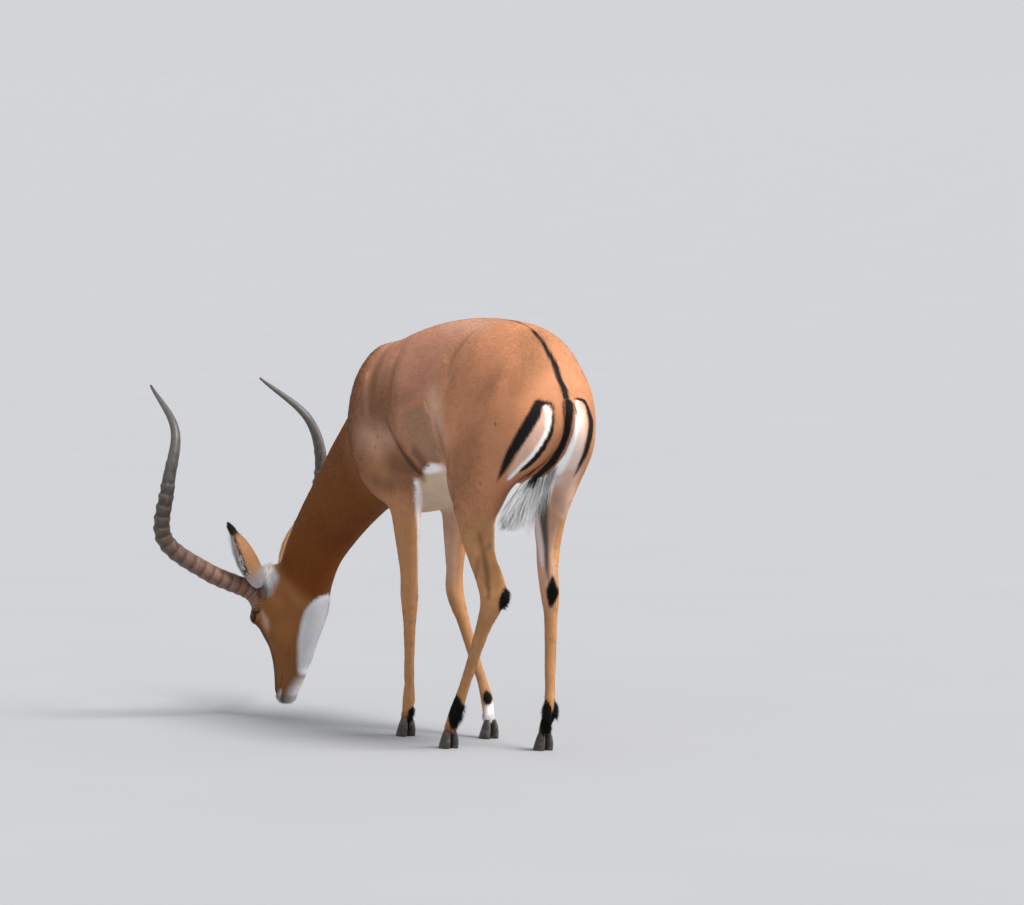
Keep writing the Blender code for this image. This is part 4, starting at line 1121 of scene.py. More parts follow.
def blades(roots, normals, lies, lengths, widths, lifts, droop, parts, chance):
    """Thin three-sided blades: corners, quads, end triangles, and each corner's part of the way."""
    count = len(roots)
    sway = chance.normal(0.0, HAIR_SWAY, count)[:, None]
    lies = unit(lies + np.cross(lies, normals) * sway)
    sides = unit(np.cross(lies, normals))
    rows = []
    for index in range(parts):
        t = index / parts
        spread = (1 - t ** 2) ** 0.8 * (0.75 + 0.25 * math.sin(math.pi * min(1.0, 0.2 + t)))
        rise = (lifts * t - BLADE_SUNK * (1 - t) ** 3)[:, None]
        centre = roots + lies * (lengths * t)[:, None] + normals * rise
        centre = centre - UP * (lengths * droop * t ** 2)[:, None]
        half = (widths * spread / 2)[:, None]
        rows += [centre - sides * half, centre + sides * half, centre + normals * half * BLADE_RIDGE]
    tip = roots + lies * lengths[:, None] + normals * lifts[:, None] - UP * (lengths * droop)[:, None]
    corners = np.stack(rows + [tip], axis=1)
    size = 3 * parts + 1
    quads, ends = [], [(0, 1, 2)]
    for index in range(parts - 1):
        low, high = 3 * index, 3 * index + 3
        quads += [(low + b, low + a, high + a, high + b) for a, b in ((0, 1), (1, 2), (2, 0))]
    ends += [(size - 4 + b, size - 4 + a, size - 1) for a, b in ((0, 1), (1, 2), (2, 0))]
    start = (np.arange(count) * size)[:, None, None]
    along = np.append(np.repeat(np.arange(parts) / parts, 3), 1.0)
    across = np.append(np.tile((-1.0, 1.0, 0.0), parts), 0.0)
    shine = unit(normals[:, None] + sides[:, None] * (ROUNDING * across[:, None]))
    return (corners.reshape(-1, 3), (start + np.array(quads)).reshape(-1, 4),
            (start + np.array(ends)).reshape(-1, 3), along, across, shine.reshape(-1, 3))


# %% Hair pieces and their map for baking
BAKE_PATCH = 0.003
LEG_X, FORELEG_Y, HIND_LEG_Y = 0.075, -0.540, -0.200
BETWEEN_LEGS_Y = -0.36
NECK_FOOT = np.array((0.10, -0.97, 0.28))
NECK_AXIS = unit(LIE_NECK)
NECK_LENGTH = 0.6


def unroll(points, region):
    """Where a root lies on the skin, unrolled round the axis of its region."""
    x, y, z = points.T
    if region == "limbs":
        leg_y = np.where(y < BETWEEN_LEGS_Y, FORELEG_Y, HIND_LEG_Y)
        aside, ahead, along = x - np.sign(x) * LEG_X, y - leg_y, z / 0.65
    elif region == "head":
        left, forward, up = in_head_frame(points)
        aside, ahead, along = left, forward + 0.075, (up + 0.26) / 0.45
    elif region == "neck":
        slide = np.clip((points - NECK_FOOT) @ NECK_AXIS, 0, NECK_LENGTH)
        middle = NECK_FOOT + slide[:, None] * NECK_AXIS
        aside, ahead, along = x - middle[:, 0], z - middle[:, 2], slide / 0.62
    elif region == "tail":
        aside, ahead, along = x - 0.02, y + 0.03, (z - 0.45) / 0.36
    else:
        aside, ahead, along = x, z - 0.70, (y + 0.78) / 0.82
    turn = np.arctan2(aside, ahead) / (2 * np.pi) + 0.5
    if region == "limbs":
        turn = (turn + (x > 0)) / 2
    return np.stack([turn, along], axis=1)


def coat_piece(name, region, roots, normals, lies, lengths, widths, lifts, chance, layers,
               droop=0.0, parts=2, slot="coat"):
    """A piece of coat from roots, with its markings and its map for baking."""
    corners, quads, ends, along, across, shine = blades(
        roots, normals, lies, lengths, widths, lifts, droop, parts, chance)
    piece = make_piece(name, corners, quads, ends)
    piece.data.normals_split_custom_set_from_vertices(shine.astype(np.float32))
    size = 3 * parts + 1
    note(piece, **{label: np.repeat(values, size) for label, values in layers.items()},
         shade=np.repeat(np.clip(chance.normal(0.5, 0.25, len(roots)), 0, 1), size),
         tip=np.tile(along, len(roots)))
    places = np.repeat(unroll(roots, region), size, axis=0)
    places += BAKE_PATCH / 2 * np.tile(np.stack([across, 2 * along - 1], axis=1), (len(roots), 1))
    corner_of = np.empty(len(piece.data.loops), dtype=np.int32)
    piece.data.loops.foreach_get("vertex_index", corner_of)
    layer = piece.data.uv_layers.new(name="OFBake")
    layer.data.foreach_set("uv", places[corner_of].astype(np.float32).ravel())
    return finish_piece(piece, COAT_HAIR, slot)


# %% Short coat, region by region
BARE_LID = math.radians(6)


def on_buttocks(points, normals):
    """The striped back of the thighs, on both sides of the tail."""
    y, z = points[:, 1], points[:, 2]
    return step(y + 0.125, 0.012) * step(0.792 - z, 0.010) * step(z - 0.55, 0.012)


def on_rump(points, normals):
    """The hindquarters above the legs, but for the striped part."""
    upper = step(points[:, 1] + 0.34, 0.02) * step(points[:, 2] - 0.53, 0.03)
    return upper * (1 - on_buttocks(points, normals))


def on_barrel(points, normals):
    """Shoulders, ribs and flanks."""
    y = points[:, 1]
    return step(-0.33 - y, 0.02) * step(y + 0.73, 0.02) * step(points[:, 2] - 0.50, 0.02)


def on_neck(points, normals):
    """The neck from the shoulder to the nape."""
    return step(-0.70 - points[:, 1], 0.02) * (1 - nearness_to_head(points)) * step(points[:, 2] - 0.2, 0.02)


def on_head(points, normals):
    """The whole head but the eyes' openings."""
    bare = np.zeros(len(points), dtype=bool)
    for side in SIDES.values():
        bare |= almond(points, side)[2] < BARE_LID
    muzzle = step(-0.16 - in_head_frame(points)[2], 0.03)
    return nearness_to_head(points) * (1 + muzzle) * ~bare


def on_limbs(points, normals):
    """All four legs, more thickly towards the feet."""
    z = points[:, 2]
    return step(0.56 - z, 0.03) * step(points[:, 1] + 0.69, 0.01) * (1 + 1.2 * step(0.35 - z, 0.1))


SHORT_COATS = (
    # name, region, weight, seed, tufts, length, width, lift
    ("coat_rump", "trunk", on_rump, 11, 17000, 0.0105, 0.0014, 0.0004),
    ("coat_buttocks", "trunk", on_buttocks, 16, 17500, 0.0060, 0.0010, 0.0003),
    ("coat_barrel", "trunk", on_barrel, 12, 17000, 0.0110, 0.0015, 0.0004),
    ("coat_neck", "neck", on_neck, 13, 19000, 0.0120, 0.0014, 0.0006),
    ("coat_head", "head", on_head, 14, 19500, 0.0065, 0.0009, 0.0004),
    ("coat_limbs", "limbs", on_limbs, 15, 19500, 0.0095, 0.0012, 0.0004),
)
CRISP_LAYERS = ("black", "white", "dark", "cream", "slate", "throat")
SHORTER_ON_FEET = 0.45
SHORTER_IN_MARKS = 0.6
SMALLEST, LARGEST = 0.7, 1.25
for name, region, weight, seed, count, length, width, lift in SHORT_COATS:
    chance = np.random.default_rng(seed)
    roots, normals = scatter(*skin_surface, weight, count, chance)
    feet = 1 - SHORTER_ON_FEET * step(0.12 - roots[:, 2], 0.04)
    layers = markings(roots, normals)
    striped = 1 - SHORTER_IN_MARKS * np.max([layers[mark] for mark in CRISP_LAYERS], axis=0)
    sizes = chance.uniform(SMALLEST, LARGEST, count) * feet * striped
    coat_piece(name, region, roots, normals, lie_of_coat(roots, normals), length * sizes,
               width * np.sqrt(sizes), lift * sizes, chance, layers)

# %% [markdown]
# ## Horns
# A horn is a sheath of keratin on a bony core.  An impala ram's is a lyre: out, back and up
# again, with some twenty strong rings on its lower two thirds and a smooth tip.  A bent
# tube would do for the course; the rings are in its radius, because they show in outline.

# %% Course and rings of a horn
HORN_ROUTE = [
    (0.024, -0.020, -0.030), (0.048, -0.008, 0.004), (0.148, 0.034, 0.052), (0.250, 0.072, 0.132),
    (0.268, 0.045, 0.252), (0.234, 0.053, 0.375), (0.190, 0.164, 0.470),
]
HORN_ROOT_RADIUS = 0.021
HORN_TIP_RADIUS = 0.0025
RING_HEIGHT = [(0, .0008), (.06, .0012), (.40, .0016), (.50, .0030), (.66, .0028), (.70, .0004),
               (.74, .0012), (.775, .0)]
RINGS_PER_LENGTH = 31
HORN_STEPS = 70
HORN_CORNERS = 28


def horn_piece(name, side):
    """One ringed horn."""
    path = spline(HORN_ROUTE, HORN_STEPS)
    along = np.linspace(0, 1, len(path))
    places = at_head(0, 0, 0) + path @ np.array([LEFTWARD * side, FORWARD, UP])
    radius = HORN_TIP_RADIUS + (HORN_ROOT_RADIUS - HORN_TIP_RADIUS) * (1 - along ** 2.4) ** 0.85
    part = (along * RINGS_PER_LENGTH) % 1.0
    ridge = np.sin(np.pi * part ** 1.8) ** 1.5
    rows = np.column_stack([places, radius, radius, radius])
    rings = sections(rows, FORWARD, HORN_CORNERS)
    angle = 2 * np.pi * np.arange(HORN_CORNERS) / HORN_CORNERS
    stronger = 0.75 + 0.25 * np.cos(angle - 0.6)
    growth = line_at(RING_HEIGHT, along)[:, None] * ridge[:, None] * stronger
    rings += unit(rings - rows[:, None, :3]) * growth[..., None]
    points, *faces = tube(rings)
    piece = make_piece(name, points, *faces)
    per_row = np.repeat(along, HORN_CORNERS)
    note(piece, along=np.append(per_row, (0, 1)), ridge=np.append(np.repeat(ridge, HORN_CORNERS), (0, 0)))
    return piece


HORN_COLOURS = (
    # place along the horn, colour
    (0.00, (0.120, 0.062, 0.042)), (0.06, (0.240, 0.120, 0.078)), (0.30, (0.200, 0.100, 0.062)),
    (0.46, (0.080, 0.044, 0.027)), (0.62, (0.036, 0.026, 0.021)), (0.80, (0.052, 0.047, 0.046)),
    (0.93, (0.062, 0.058, 0.058)), (1.00, (0.040, 0.036, 0.034)),
)


def horn_finish():
    """Keratin: red-brown at the foot, nearly black in the middle, blue-grey and worn at the tip, with painted
    shade in the hollows between the rings.
    """
    finish = Finish("horn_keratin", Roughness=0.42)
    along = finish.layer("along")
    ridge = finish.layer("ridge")
    grain = finish.noise((260.0, 260.0, 60.0), 1.0, 4.0)
    patches = finish.noise((1.0, 1.0, 1.0), 22.0, 3.0)
    base = finish.node("ShaderNodeValToRGB", {"stops": HORN_COLOURS}, {"Fac": along + (patches - 0.5) * 0.10})
    # painted shade: the hollows between the rings are darkened towards black
    dark = finish.blend(0.62, base, (0.012, 0.009, 0.008))
    ring_hollow_shade = finish.between(ridge, 0.45, 0.0) * finish.between(along, 0.76, 0.66)
    wear = finish.between(grain, 0.35, 0.75) * 0.5
    worn = finish.blend(wear, base, finish.blend(0.5, base, (0.30, 0.26, 0.22)))
    finish.colour(finish.blend(ring_hollow_shade * 0.75, worn, dark))
    finish.plug(finish.shader.inputs["Roughness"], 0.36 + grain * 0.22)
    finish.relief(grain * 0.6 + patches * 0.4, 0.0010, 0.5)
    return finish.material


HORN_KERATIN = horn_finish()
for name, side in SIDES.items():
    finish_piece(horn_piece("horn_sheath_" + name, side), HORN_KERATIN, "horn", "horn_" + name)

# %% Hair of one colour
def plain_layers(count, **strengths):
    """Markings for hair of one colour, with the other layers left empty."""
    layers = {name: np.zeros(count) for name, _ in COAT_LAYERS}
    for name, strength in strengths.items():
        layers[name] = np.broadcast_to(strength, count).astype(float)
    return layers


# %% [markdown]
# ## Ears
# An ear is a leaf of cartilage rolled into a funnel at its root.  The grid below is bent
# round the leaf's length, less and less towards the tip, and gets an inside and an outside.

# %% The leaf of an ear
EAR_LENGTH = 0.164
EAR_HALF_THICKNESS = 0.0011
EAR_ROWS, EAR_COLUMNS = 64, 28
EAR_ROOT = (0.034, -0.044, 0.029)
EAR_TIP = (0.131, -0.018, 0.160)


def ear_grid(side, rows, columns):
    """Places on the middle of the leaf: rows from root to tip, columns from edge to edge."""
    root = at_head(side * EAR_ROOT[0], *EAR_ROOT[1:])
    tip = at_head(side * EAR_TIP[0], *EAR_TIP[1:])
    axis = unit(tip - root)
    opening = LEFTWARD * side * 0.59 + FORWARD * 0.57 - UP * 0.57
    opening = unit(opening - axis * (opening @ axis))
    across = np.cross(axis, opening)
    along = np.linspace(0, 1, rows + 1)[:, None]
    span = np.linspace(-1, 1, columns + 1)[None, :]
    half = 0.0035 + 0.0275 * np.sin(np.pi * np.minimum(1.0, 0.13 + 0.87 * along) ** 1.15) ** 0.66
    curl = np.radians(155 - 95 * along)
    bend = np.where(curl < np.pi / 2, half / np.sin(np.minimum(curl, np.pi / 2)), half)
    swing = curl * span
    sag = bend - bend * np.cos(swing) - 0.012 * np.sin(np.pi * along)
    places = (root + axis * (EAR_LENGTH * along)[..., None] + across * (bend * np.sin(swing))[..., None]
              + opening * sag[..., None])
    return places, opening, np.broadcast_to(along, sag.shape), np.broadcast_to(span, sag.shape)


def ear_piece(name, side):
    """One ear with an inner and an outer face."""
    places, opening, along, span = ear_grid(side, EAR_ROWS, EAR_COLUMNS)
    normal = unit(np.cross(np.gradient(places, axis=0), np.gradient(places, axis=1)))
    middle = EAR_COLUMNS // 2
    if normal[EAR_ROWS // 2, middle] @ opening < 0:
        normal = -normal
    thin = EAR_HALF_THICKNESS * (1 - 0.5 * np.abs(span) ** 4)[..., None]
    inner, outer = places + normal * thin, places - normal * thin
    rings = np.concatenate([inner, outer[:, ::-1]], axis=1)
    points, *faces = tube(rings)
    piece = make_piece(name, points, *faces)
    inside = np.concatenate([np.ones(inner.shape[:2]), np.zeros(outer.shape[:2])], axis=1)
    across = np.concatenate([span, span[:, ::-1]], axis=1)
    numbers = {"inside": inside, "rear": across * side, "along": np.concatenate([along, along], axis=1),
               "edge": np.abs(across)}
    ends = (0.0, 1.0)
    note(piece, **{label: np.append(values.ravel(), ends) for label, values in numbers.items()})
    return piece


def ear_finish():
    """Tan back, pale stippled inside, and a black rim that widens to a black tip."""
    finish = Finish("ear_skin", Roughness=0.6, Specular_IOR_Level=0.3)
    along, edge, inside = finish.layer("along"), finish.layer("edge"), finish.layer("inside")
    rear = finish.layer("rear")
    speckle = finish.noise((1.0, 1.0, 1.0), 420.0, 3.0)
    soft = finish.noise((1.0, 1.0, 1.0), 60.0, 3.0)
    back = finish.blend(soft, (0.34, 0.160, 0.070), (0.52, 0.280, 0.140))
    back = finish.blend(finish.between(along + (soft - 0.5) * 0.2, 0.34, 0.10), back, (0.46, 0.44, 0.46))
    stippled = finish.between(speckle - edge * 0.16, 0.38, 0.56)
    hollow = finish.blend(stippled * 0.8, (0.62, 0.59, 0.57), (0.115, 0.098, 0.094))
    colour = finish.blend(inside, back, hollow)
    start = 0.78 - finish.between(rear, -0.2, 0.2) * 0.50
    rim = finish.between(edge + (soft - 0.5) * 0.10, 0.78, 0.88) * finish.between(along - start, -0.05, 0.08)
    tip = finish.between(along + (soft - 0.5) * 0.06, 0.80, 0.86)
    colour = finish.blend(rim, colour, (0.018, 0.015, 0.014))
    finish.colour(finish.blend(tip, colour, (0.014, 0.012, 0.011)))
    finish.relief(speckle * 0.4 + soft * 0.6, 0.0012, 0.5)
    return finish.material


EAR_SKIN = ear_finish()

# %% Hair of an ear
EAR_HAIR = (
    # name, place, tufts, shortest and longest, width, lean, colours
    ("ear_lining_", "hollow", 1500, (0.009, 0.018), 0.0009, 0.10, {"throat": 0.9}),
    ("ear_tip_", "brush", 900, (0.005, 0.009), 0.0013, 0.25, {"black": 1.0}),
    ("ear_back_", "back", 3600, (0.004, 0.007), 0.0010, 0.02, {"limb": 1.0}),
)
EAR_HAIR_LIFT = 0.0004


def ear_places(opening, way_along):
    """Weights for the hair of an ear: in its hollow, on its tip and on its back."""
    def hollow(corners, out):
        """The inner face, off the root and below the tip."""
        way = way_along(corners)
        return step(out @ opening - 0.2, 0.2) * step(way - 0.12, 0.05) * step(0.84 - way, 0.05)

    def brush(corners, out):
        """The last part of the leaf."""
        return step(way_along(corners) - 0.88, 0.03)

    def back(corners, out):
        """The outer face below the tip."""
        return step(-(out @ opening), 0.1) * step(0.86 - way_along(corners), 0.03)

    return {"hollow": hollow, "brush": brush, "back": back}


def ear_hair(name, leaf, side):
    """Pale hair inside one ear, a black brush on its tip and short tan hair on its back."""
    surface = surface_of(leaf)
    places, opening, _, _ = ear_grid(side, 8, 8)
    root, axis = places[0, 4], unit(places[8, 4] - places[0, 4])
    chance = np.random.default_rng(61)

    def way_along(corners):
        """Part of the way from the root of the ear to its tip."""
        return (corners - root) @ axis / EAR_LENGTH

    weights = ear_places(opening, way_along)
    for label, place, count, lengths, width, lean, colours in EAR_HAIR:
        roots, out = scatter(*surface, weights[place], count, chance)
        lies = unit(axis + lean * out + chance.normal(0, 0.07, (count, 3)))
        layers = plain_layers(count, **colours)
        if place == "back":
            pale_foot = 0.26 - way_along(roots) + chance.normal(0, 0.03, count)
            layers["throat"] = 0.8 * step(pale_foot, 0.05)
        coat_piece(label + name, "head", roots, out, lies, chance.uniform(*lengths, count),
                   np.full(count, width), np.full(count, EAR_HAIR_LIFT), chance, layers, slot="ear")


for name, side in SIDES.items():
    leaf = finish_piece(ear_piece("ear_leaf_" + name, side), EAR_SKIN, "ear", "ear_" + name)
    ear_hair(name, leaf, side)

# %% [markdown]
# ## Eyes
# A grazing animal's eye is large and dark, with a pupil that lies level like a slot.  A
# ball is enough, with the front a touch more bulged, as a cornea is.

# %% Eyeballs
CORNEA_BULGE = 0.0007
CORNEA_REACH, CORNEA_SOFTNESS = math.radians(38), math.radians(8)
EYE_RINGS, EYE_CORNERS = 40, 48
EYE_POLE = 0.02


def eye_piece(name, side):
    """One eyeball with its pole looking outwards."""
    centre = eye_centre(side)
    look = eye_look(side)
    level = unit(np.cross(UP, look))
    above = np.cross(look, level)
    angles = np.linspace(EYE_POLE, math.pi - EYE_POLE, EYE_RINGS)
    around = 2 * np.pi * np.arange(EYE_CORNERS) / EYE_CORNERS
    radius = EYE_RADIUS + CORNEA_BULGE * step(CORNEA_REACH - angles, CORNEA_SOFTNESS)
    ring = np.cos(around)[:, None] * level + np.sin(around)[:, None] * above
    rings = centre + radius[:, None, None] * (np.cos(angles)[:, None, None] * look
                                              + np.sin(angles)[:, None, None] * ring)
    points, *faces = tube(rings)
    piece = make_piece(name, points, *faces)
    from_centre = unit(points - centre)
    note(piece, across=from_centre @ level, upward=from_centre @ above, ahead=from_centre @ look)
    return piece


def eye_finish():
    """Dark brown iris round a level slot of a pupil, under a wet surface."""
    finish = Finish("eye_wet", Roughness=0.10, Specular_IOR_Level=0.25, Coat_Weight=0.15,
                    Coat_Roughness=0.04)
    across, upward, ahead = finish.layer("across"), finish.layer("upward"), finish.layer("ahead")
    fibres = finish.noise((1.0, 1.0, 1.0), 900.0, 2.0)
    slot = across * across * 9.0 + upward * upward * 42.0
    iris = finish.blend(fibres, (0.014, 0.007, 0.004), (0.034, 0.017, 0.008))
    inner = finish.blend(finish.between(slot, 1.2, 0.9), iris, (0.003, 0.003, 0.004))
    finish.colour(finish.blend(finish.between(ahead, 0.70, 0.62), inner, (0.030, 0.022, 0.020)))
    return finish.material


EYE_WET = eye_finish()
for name, side in SIDES.items():
    finish_piece(eye_piece("eyeball_" + name, side), EYE_WET, "eye", "eye_" + name)

# %% [markdown]
# ## Hooves
# Each foot stands on two claws.  A claw is a flat-soled wedge of horn with a sharp toe, its
# wall faintly ringed by growth.

# %% Claws
HOOF_HEIGHT = 0.042
FEET = {"fore_left": (0.051, -0.584), "fore_right": (-0.080, -0.446),
        "hind_left": (0.088, -0.341), "hind_right": (-0.066, -0.199)}
CLAW_OFFSET = 0.0108
CLAW_RISE = np.array((0.0, 0.0006, 0.0025, 0.006, 0.011, 0.017, 0.023, 0.029, 0.035, 0.040, HOOF_HEIGHT))
CLAW_HALF_WIDTH = [(0, .0098), (.35, .0096), (.7, .0082), (1, .0052)]
CLAW_TOE = [(0, .0300), (.5, .0185), (1, .0085)]
CLAW_HEEL = [(0, .0175), (.35, .0185), (.7, .0150), (1, .0080)]
CLAW_CORNERS = 32
SOLE_BEVEL = 0.90
CLAW_SLANT = 0.16


def claw_piece(name, x, y, inward):
    """One half of a cloven hoof."""
    rise = CLAW_RISE
    part = rise / HOOF_HEIGHT
    bevel = np.where(rise == 0, SOLE_BEVEL, 1.0)
    half = line_at(CLAW_HALF_WIDTH, part) * bevel
    front = line_at(CLAW_TOE, part) * bevel
    back = line_at(CLAW_HEEL, part) * bevel
    around = 2 * np.pi * np.arange(CLAW_CORNERS) / CLAW_CORNERS
    cosine, sine = np.cos(around), np.sin(around)
    narrow = np.where(sine > 0, 1 - 0.45 * sine ** 3, 1 - 0.15 * (-sine) ** 3)
    across = half[:, None] * cosine * narrow
    ahead = np.where(sine > 0, front[:, None], back[:, None]) * sine
    gather = 0.0030 * part ** 2
    places = np.stack([x + across + inward * (CLAW_SLANT * np.maximum(ahead, 0) + gather[:, None]),
                       y + 0.006 * part[:, None] - ahead,
                       np.broadcast_to(rise[:, None], ahead.shape)], axis=-1)
    points, *faces = tube(places)
    return make_piece(name, points, *faces)


def hoof_finish():
    """Dark horn, dull and dusty, with fine growth rings."""
    finish = Finish("hoof_horn", Roughness=0.5)
    rings = finish.noise((12.0, 12.0, 700.0), 1.0, 2.0)
    dust = finish.noise((1.0, 1.0, 1.0), 90.0, 4.0)
    dark = finish.blend(rings, (0.018, 0.015, 0.013), (0.050, 0.042, 0.036))
    finish.colour(finish.blend(finish.between(dust, 0.52, 0.80), dark, (0.16, 0.125, 0.095)))
    finish.plug(finish.shader.inputs["Roughness"], 0.40 + dust * 0.30)
    finish.relief(rings * 0.7 + dust * 0.3, 0.0006, 0.6)
    return finish.material


HOOF_HORN = hoof_finish()
for foot, (x, y) in FEET.items():
    for half, offset in (("outer", 1), ("inner", -1)):
        outward = offset * math.copysign(1, x)
        claw = claw_piece(f"claw_{foot}_{half}", x + outward * CLAW_OFFSET, y, -outward)
        finish_piece(claw, HOOF_HORN, "hoof", f"hoof_{foot}_{half}")

# %% [markdown]
# ## Tail
# The tail is a short dock of flesh that hangs into the cleft of the rump, golden at the
# sides, black along the middle, and ends in long hair.

# %% The dock of the tail
TAIL_STATIONS = [
    (0.000, -0.010, 0.774, 0.012, 0.010, 0.008), (0.000, 0.013, 0.756, 0.014, 0.009, 0.009),
    (0.000, 0.015, 0.716, 0.015, 0.010, 0.009), (0.002, -0.010, 0.672, 0.015, 0.010, 0.009),
    (0.015, -0.043, 0.632, 0.017, 0.012, 0.011), (0.034, -0.073, 0.597, 0.024, 0.014, 0.013),
    (0.049, -0.092, 0.560, 0.028, 0.014, 0.013), (0.058, -0.105, 0.525, 0.020, 0.010, 0.010),
    (0.061, -0.111, 0.507, 0.008, 0.005, 0.005),
]
TAIL_STRIPE = [(.000, .002, .788), (.003, .014, .772), (.008, .024, .750), (.013, .020, .707),
               (.014, .000, .672), (.020, -.025, .641), (.035, -.044, .619), (.054, -.062, .600),
               (.062, -.072, .590)]
TAIL_STRIPE_WIDTHS = (.018, .017, .016, .016, .017, .017, .014, .010, .005)
TAIL_MIDDLE = [(.50, .060), (.56, .050), (.60, .030), (.62, .014), (.66, -.002), (.76, -.006)]


def tail_markings(points, normals):
    """Black along the middle of the tail, white on its far right and towards its end."""
    z = points[:, 2]
    below = step(0.598 - z, 0.008)
    right = step(line_at(TAIL_MIDDLE, z) - points[:, 0], 0.003) * step(0.745 - z, 0.01)
    layers = plain_layers(len(points))
    layers["white"] = np.maximum(below, right)
    layers["dark"] = 0.35 * step(z - 0.60, 0.01)
    layers["black"] = stroke(points, TAIL_STRIPE, TAIL_STRIPE_WIDTHS, .0015)
    return layers


TAIL_STEPS, TAIL_CORNERS = 12, 28
tail_rows = spline(TAIL_STATIONS, TAIL_STEPS)
tail_points, *tail_faces = tube(sections(tail_rows, (1, 0, 0), TAIL_CORNERS))
tail = make_piece("tail_dock", tail_points, *tail_faces)
note(tail, **tail_markings(tail_points, tail_points * 0), runs_down=np.ones(len(tail_points)),
     runs_slanting=np.zeros(len(tail_points)))
finish_piece(tail, COAT_SKIN, "tail", "tail")

# %% [markdown]
# ## Long hair
# Long hair hangs in locks from the end of the tail.  Shorter brushes of it stand as black
# tufts at the hocks and above the hooves, and as pale fluff on the throat and round the
# ears.  It is made as the short coat is, only with longer blades that droop a little.

# %% Hair of the tail
TAIL_END = np.array((0.050, -0.090, 0.560))
TAIL_HAIR_WAY = np.array((0.36, -0.24, -0.90))
TAIL_LOCKS = 70


def below_stripe(points, normals):
    """The end of the dock, and its white right side a little higher."""
    right = step(line_at(TAIL_MIDDLE, points[:, 2]) - points[:, 0], 0.004)
    return step(0.606 + 0.024 * right - points[:, 2], 0.014)


def dock_hair(surface, chance):
    """Short hair down the dock of the tail."""
    count = 5200
    roots, out = scatter(*surface, lambda places, _: step(places[:, 2] - 0.56, 0.02), count, chance)
    low = step(0.67 - roots[:, 2:3], 0.03)
    down = np.array((0.10, -0.30, -0.95)) + np.array((0.3, -0.3, 0.0)) * low
    lies = unit(down - out * (out * down).sum(axis=1, keepdims=True))
    coat_piece("coat_tail", "tail", roots, out, lies, chance.uniform(0.005, 0.009, count),
               np.full(count, 0.0013), np.full(count, 0.0005), chance, tail_markings(roots, out), slot="tail")


def lock_ways(roots, chance):
    """The lock that each hair belongs to, and its way within that lock."""
    count = len(roots)
    centres = roots[chance.integers(0, count, TAIL_LOCKS)]
    lock = np.linalg.norm(roots[:, None] - centres[None], axis=2).argmin(axis=1)
    fan = unit(centres - TAIL_END) * np.array((1.0, 1.0, 0.10))
    ways = TAIL_HAIR_WAY + 0.16 * fan + chance.normal(0, 0.07, (TAIL_LOCKS, 3))
    return lock, unit(ways[lock] + chance.normal(0, 0.05, (count, 3)))


def tuft_hair(surface, chance):
    """The long white tuft at the end of the tail, longest at its top, with a few grey hairs."""
    count = 4200
    roots, out = scatter(*surface, below_stripe, count, chance)
    lock, lies = lock_ways(roots, chance)
    reach = np.clip((roots[:, 2] - 0.500) / 0.80, 0.012, 0.10)
    lock_length = chance.uniform(0.60, 1.0, TAIL_LOCKS)[lock]
    lengths = reach * lock_length * chance.uniform(0.3, 1.0, count) + 0.010
    grey = chance.random(count) < 0.05
    black = tail_markings(roots, out)["black"] * step(roots[:, 2] - 0.600, 0.002)
    lengths = lengths * (1 - 0.6 * black)
    layers = plain_layers(count, white=np.where(grey, 0.5, 1.0), slate=np.where(grey, 0.5, 0.0), black=black)
    coat_piece("tail_tuft", "tail", roots, out, lies, lengths, np.full(count, 0.0013),
               0.003 * chance.random(count), chance, layers, droop=0.10, parts=3, slot="tail")


tail_surface = surface_of(tail)
tail_chance = np.random.default_rng(21)
dock_hair(tail_surface, tail_chance)
tuft_hair(tail_surface, tail_chance)

# %% Longer hair on the skin
def grow(name, seed, count, weight, lengths, width, lift, way, region="limbs", droop=0.05, grey=0.0,
         **strengths):
    """Longer hair on part of the skin, pointing a given way, with a share of grey hairs."""
    chance = np.random.default_rng(seed)
    roots, out = scatter(*skin_surface, weight, count, chance)
    lies = unit(np.array(way) + 0.35 * out + chance.normal(0, 0.10, (count, 3)))
    layers = plain_layers(count, **strengths) if strengths else markings(roots, out)
    layers["slate"] = np.maximum(layers["slate"], 0.7 * (chance.random(count) < grey))
    layers["throat"] = layers["throat"] * (1 - layers["slate"])
    coat_piece(name, region, roots, out, lies, chance.uniform(*lengths, count), np.full(count, width),
               np.full(count, lift), chance, layers, droop=droop)


SPOT_SQUEEZE = (1.0, 1.0, 0.6)


def spot(place, reach):
    """A weight that keeps to a spot, drawn out upwards."""
    def weight(points, normals):
        offset = (points - np.array(place)) * SPOT_SQUEEZE
        return step(reach - np.linalg.norm(offset, axis=1), 0.003)
    return weight


BLACK_TUFTS = (
    # place, reach, way, shortest and longest hair
    ((.092, -.303, .094), .018, (0.10, 0.60, -0.9), (.007, .013)),
    ((.088, -.310, .068), .014, (0.10, 0.40, -1.0), (.008, .014)),
    ((-.076, -.158, .092), .011, (-0.10, 0.40, -1.0), (.008, .014)),
    ((-.048, -.162, .094), .012, (0.50, 0.20, -0.9), (.009, .016)),
    ((-.058, -.178, .060), .010, (0.05, 0.45, -1.0), (.010, .018)),
    ((.069, -.131, .336), .016, (-0.30, 0.75, -0.6), (.007, .012)),
    ((-.060, -.154, .350), .011, (0.0, 0.50, -1.0), (.005, .009)),
    ((.045, -.560, .046), .012, (-0.1, 0.60, -0.9), (.006, .012)),
    ((-.072, -.438, .098), .009, (0.0, 0.40, -1.0), (.004, .008)),
)
TUFT_SEED = 31
TUFT_HAIRS = 520
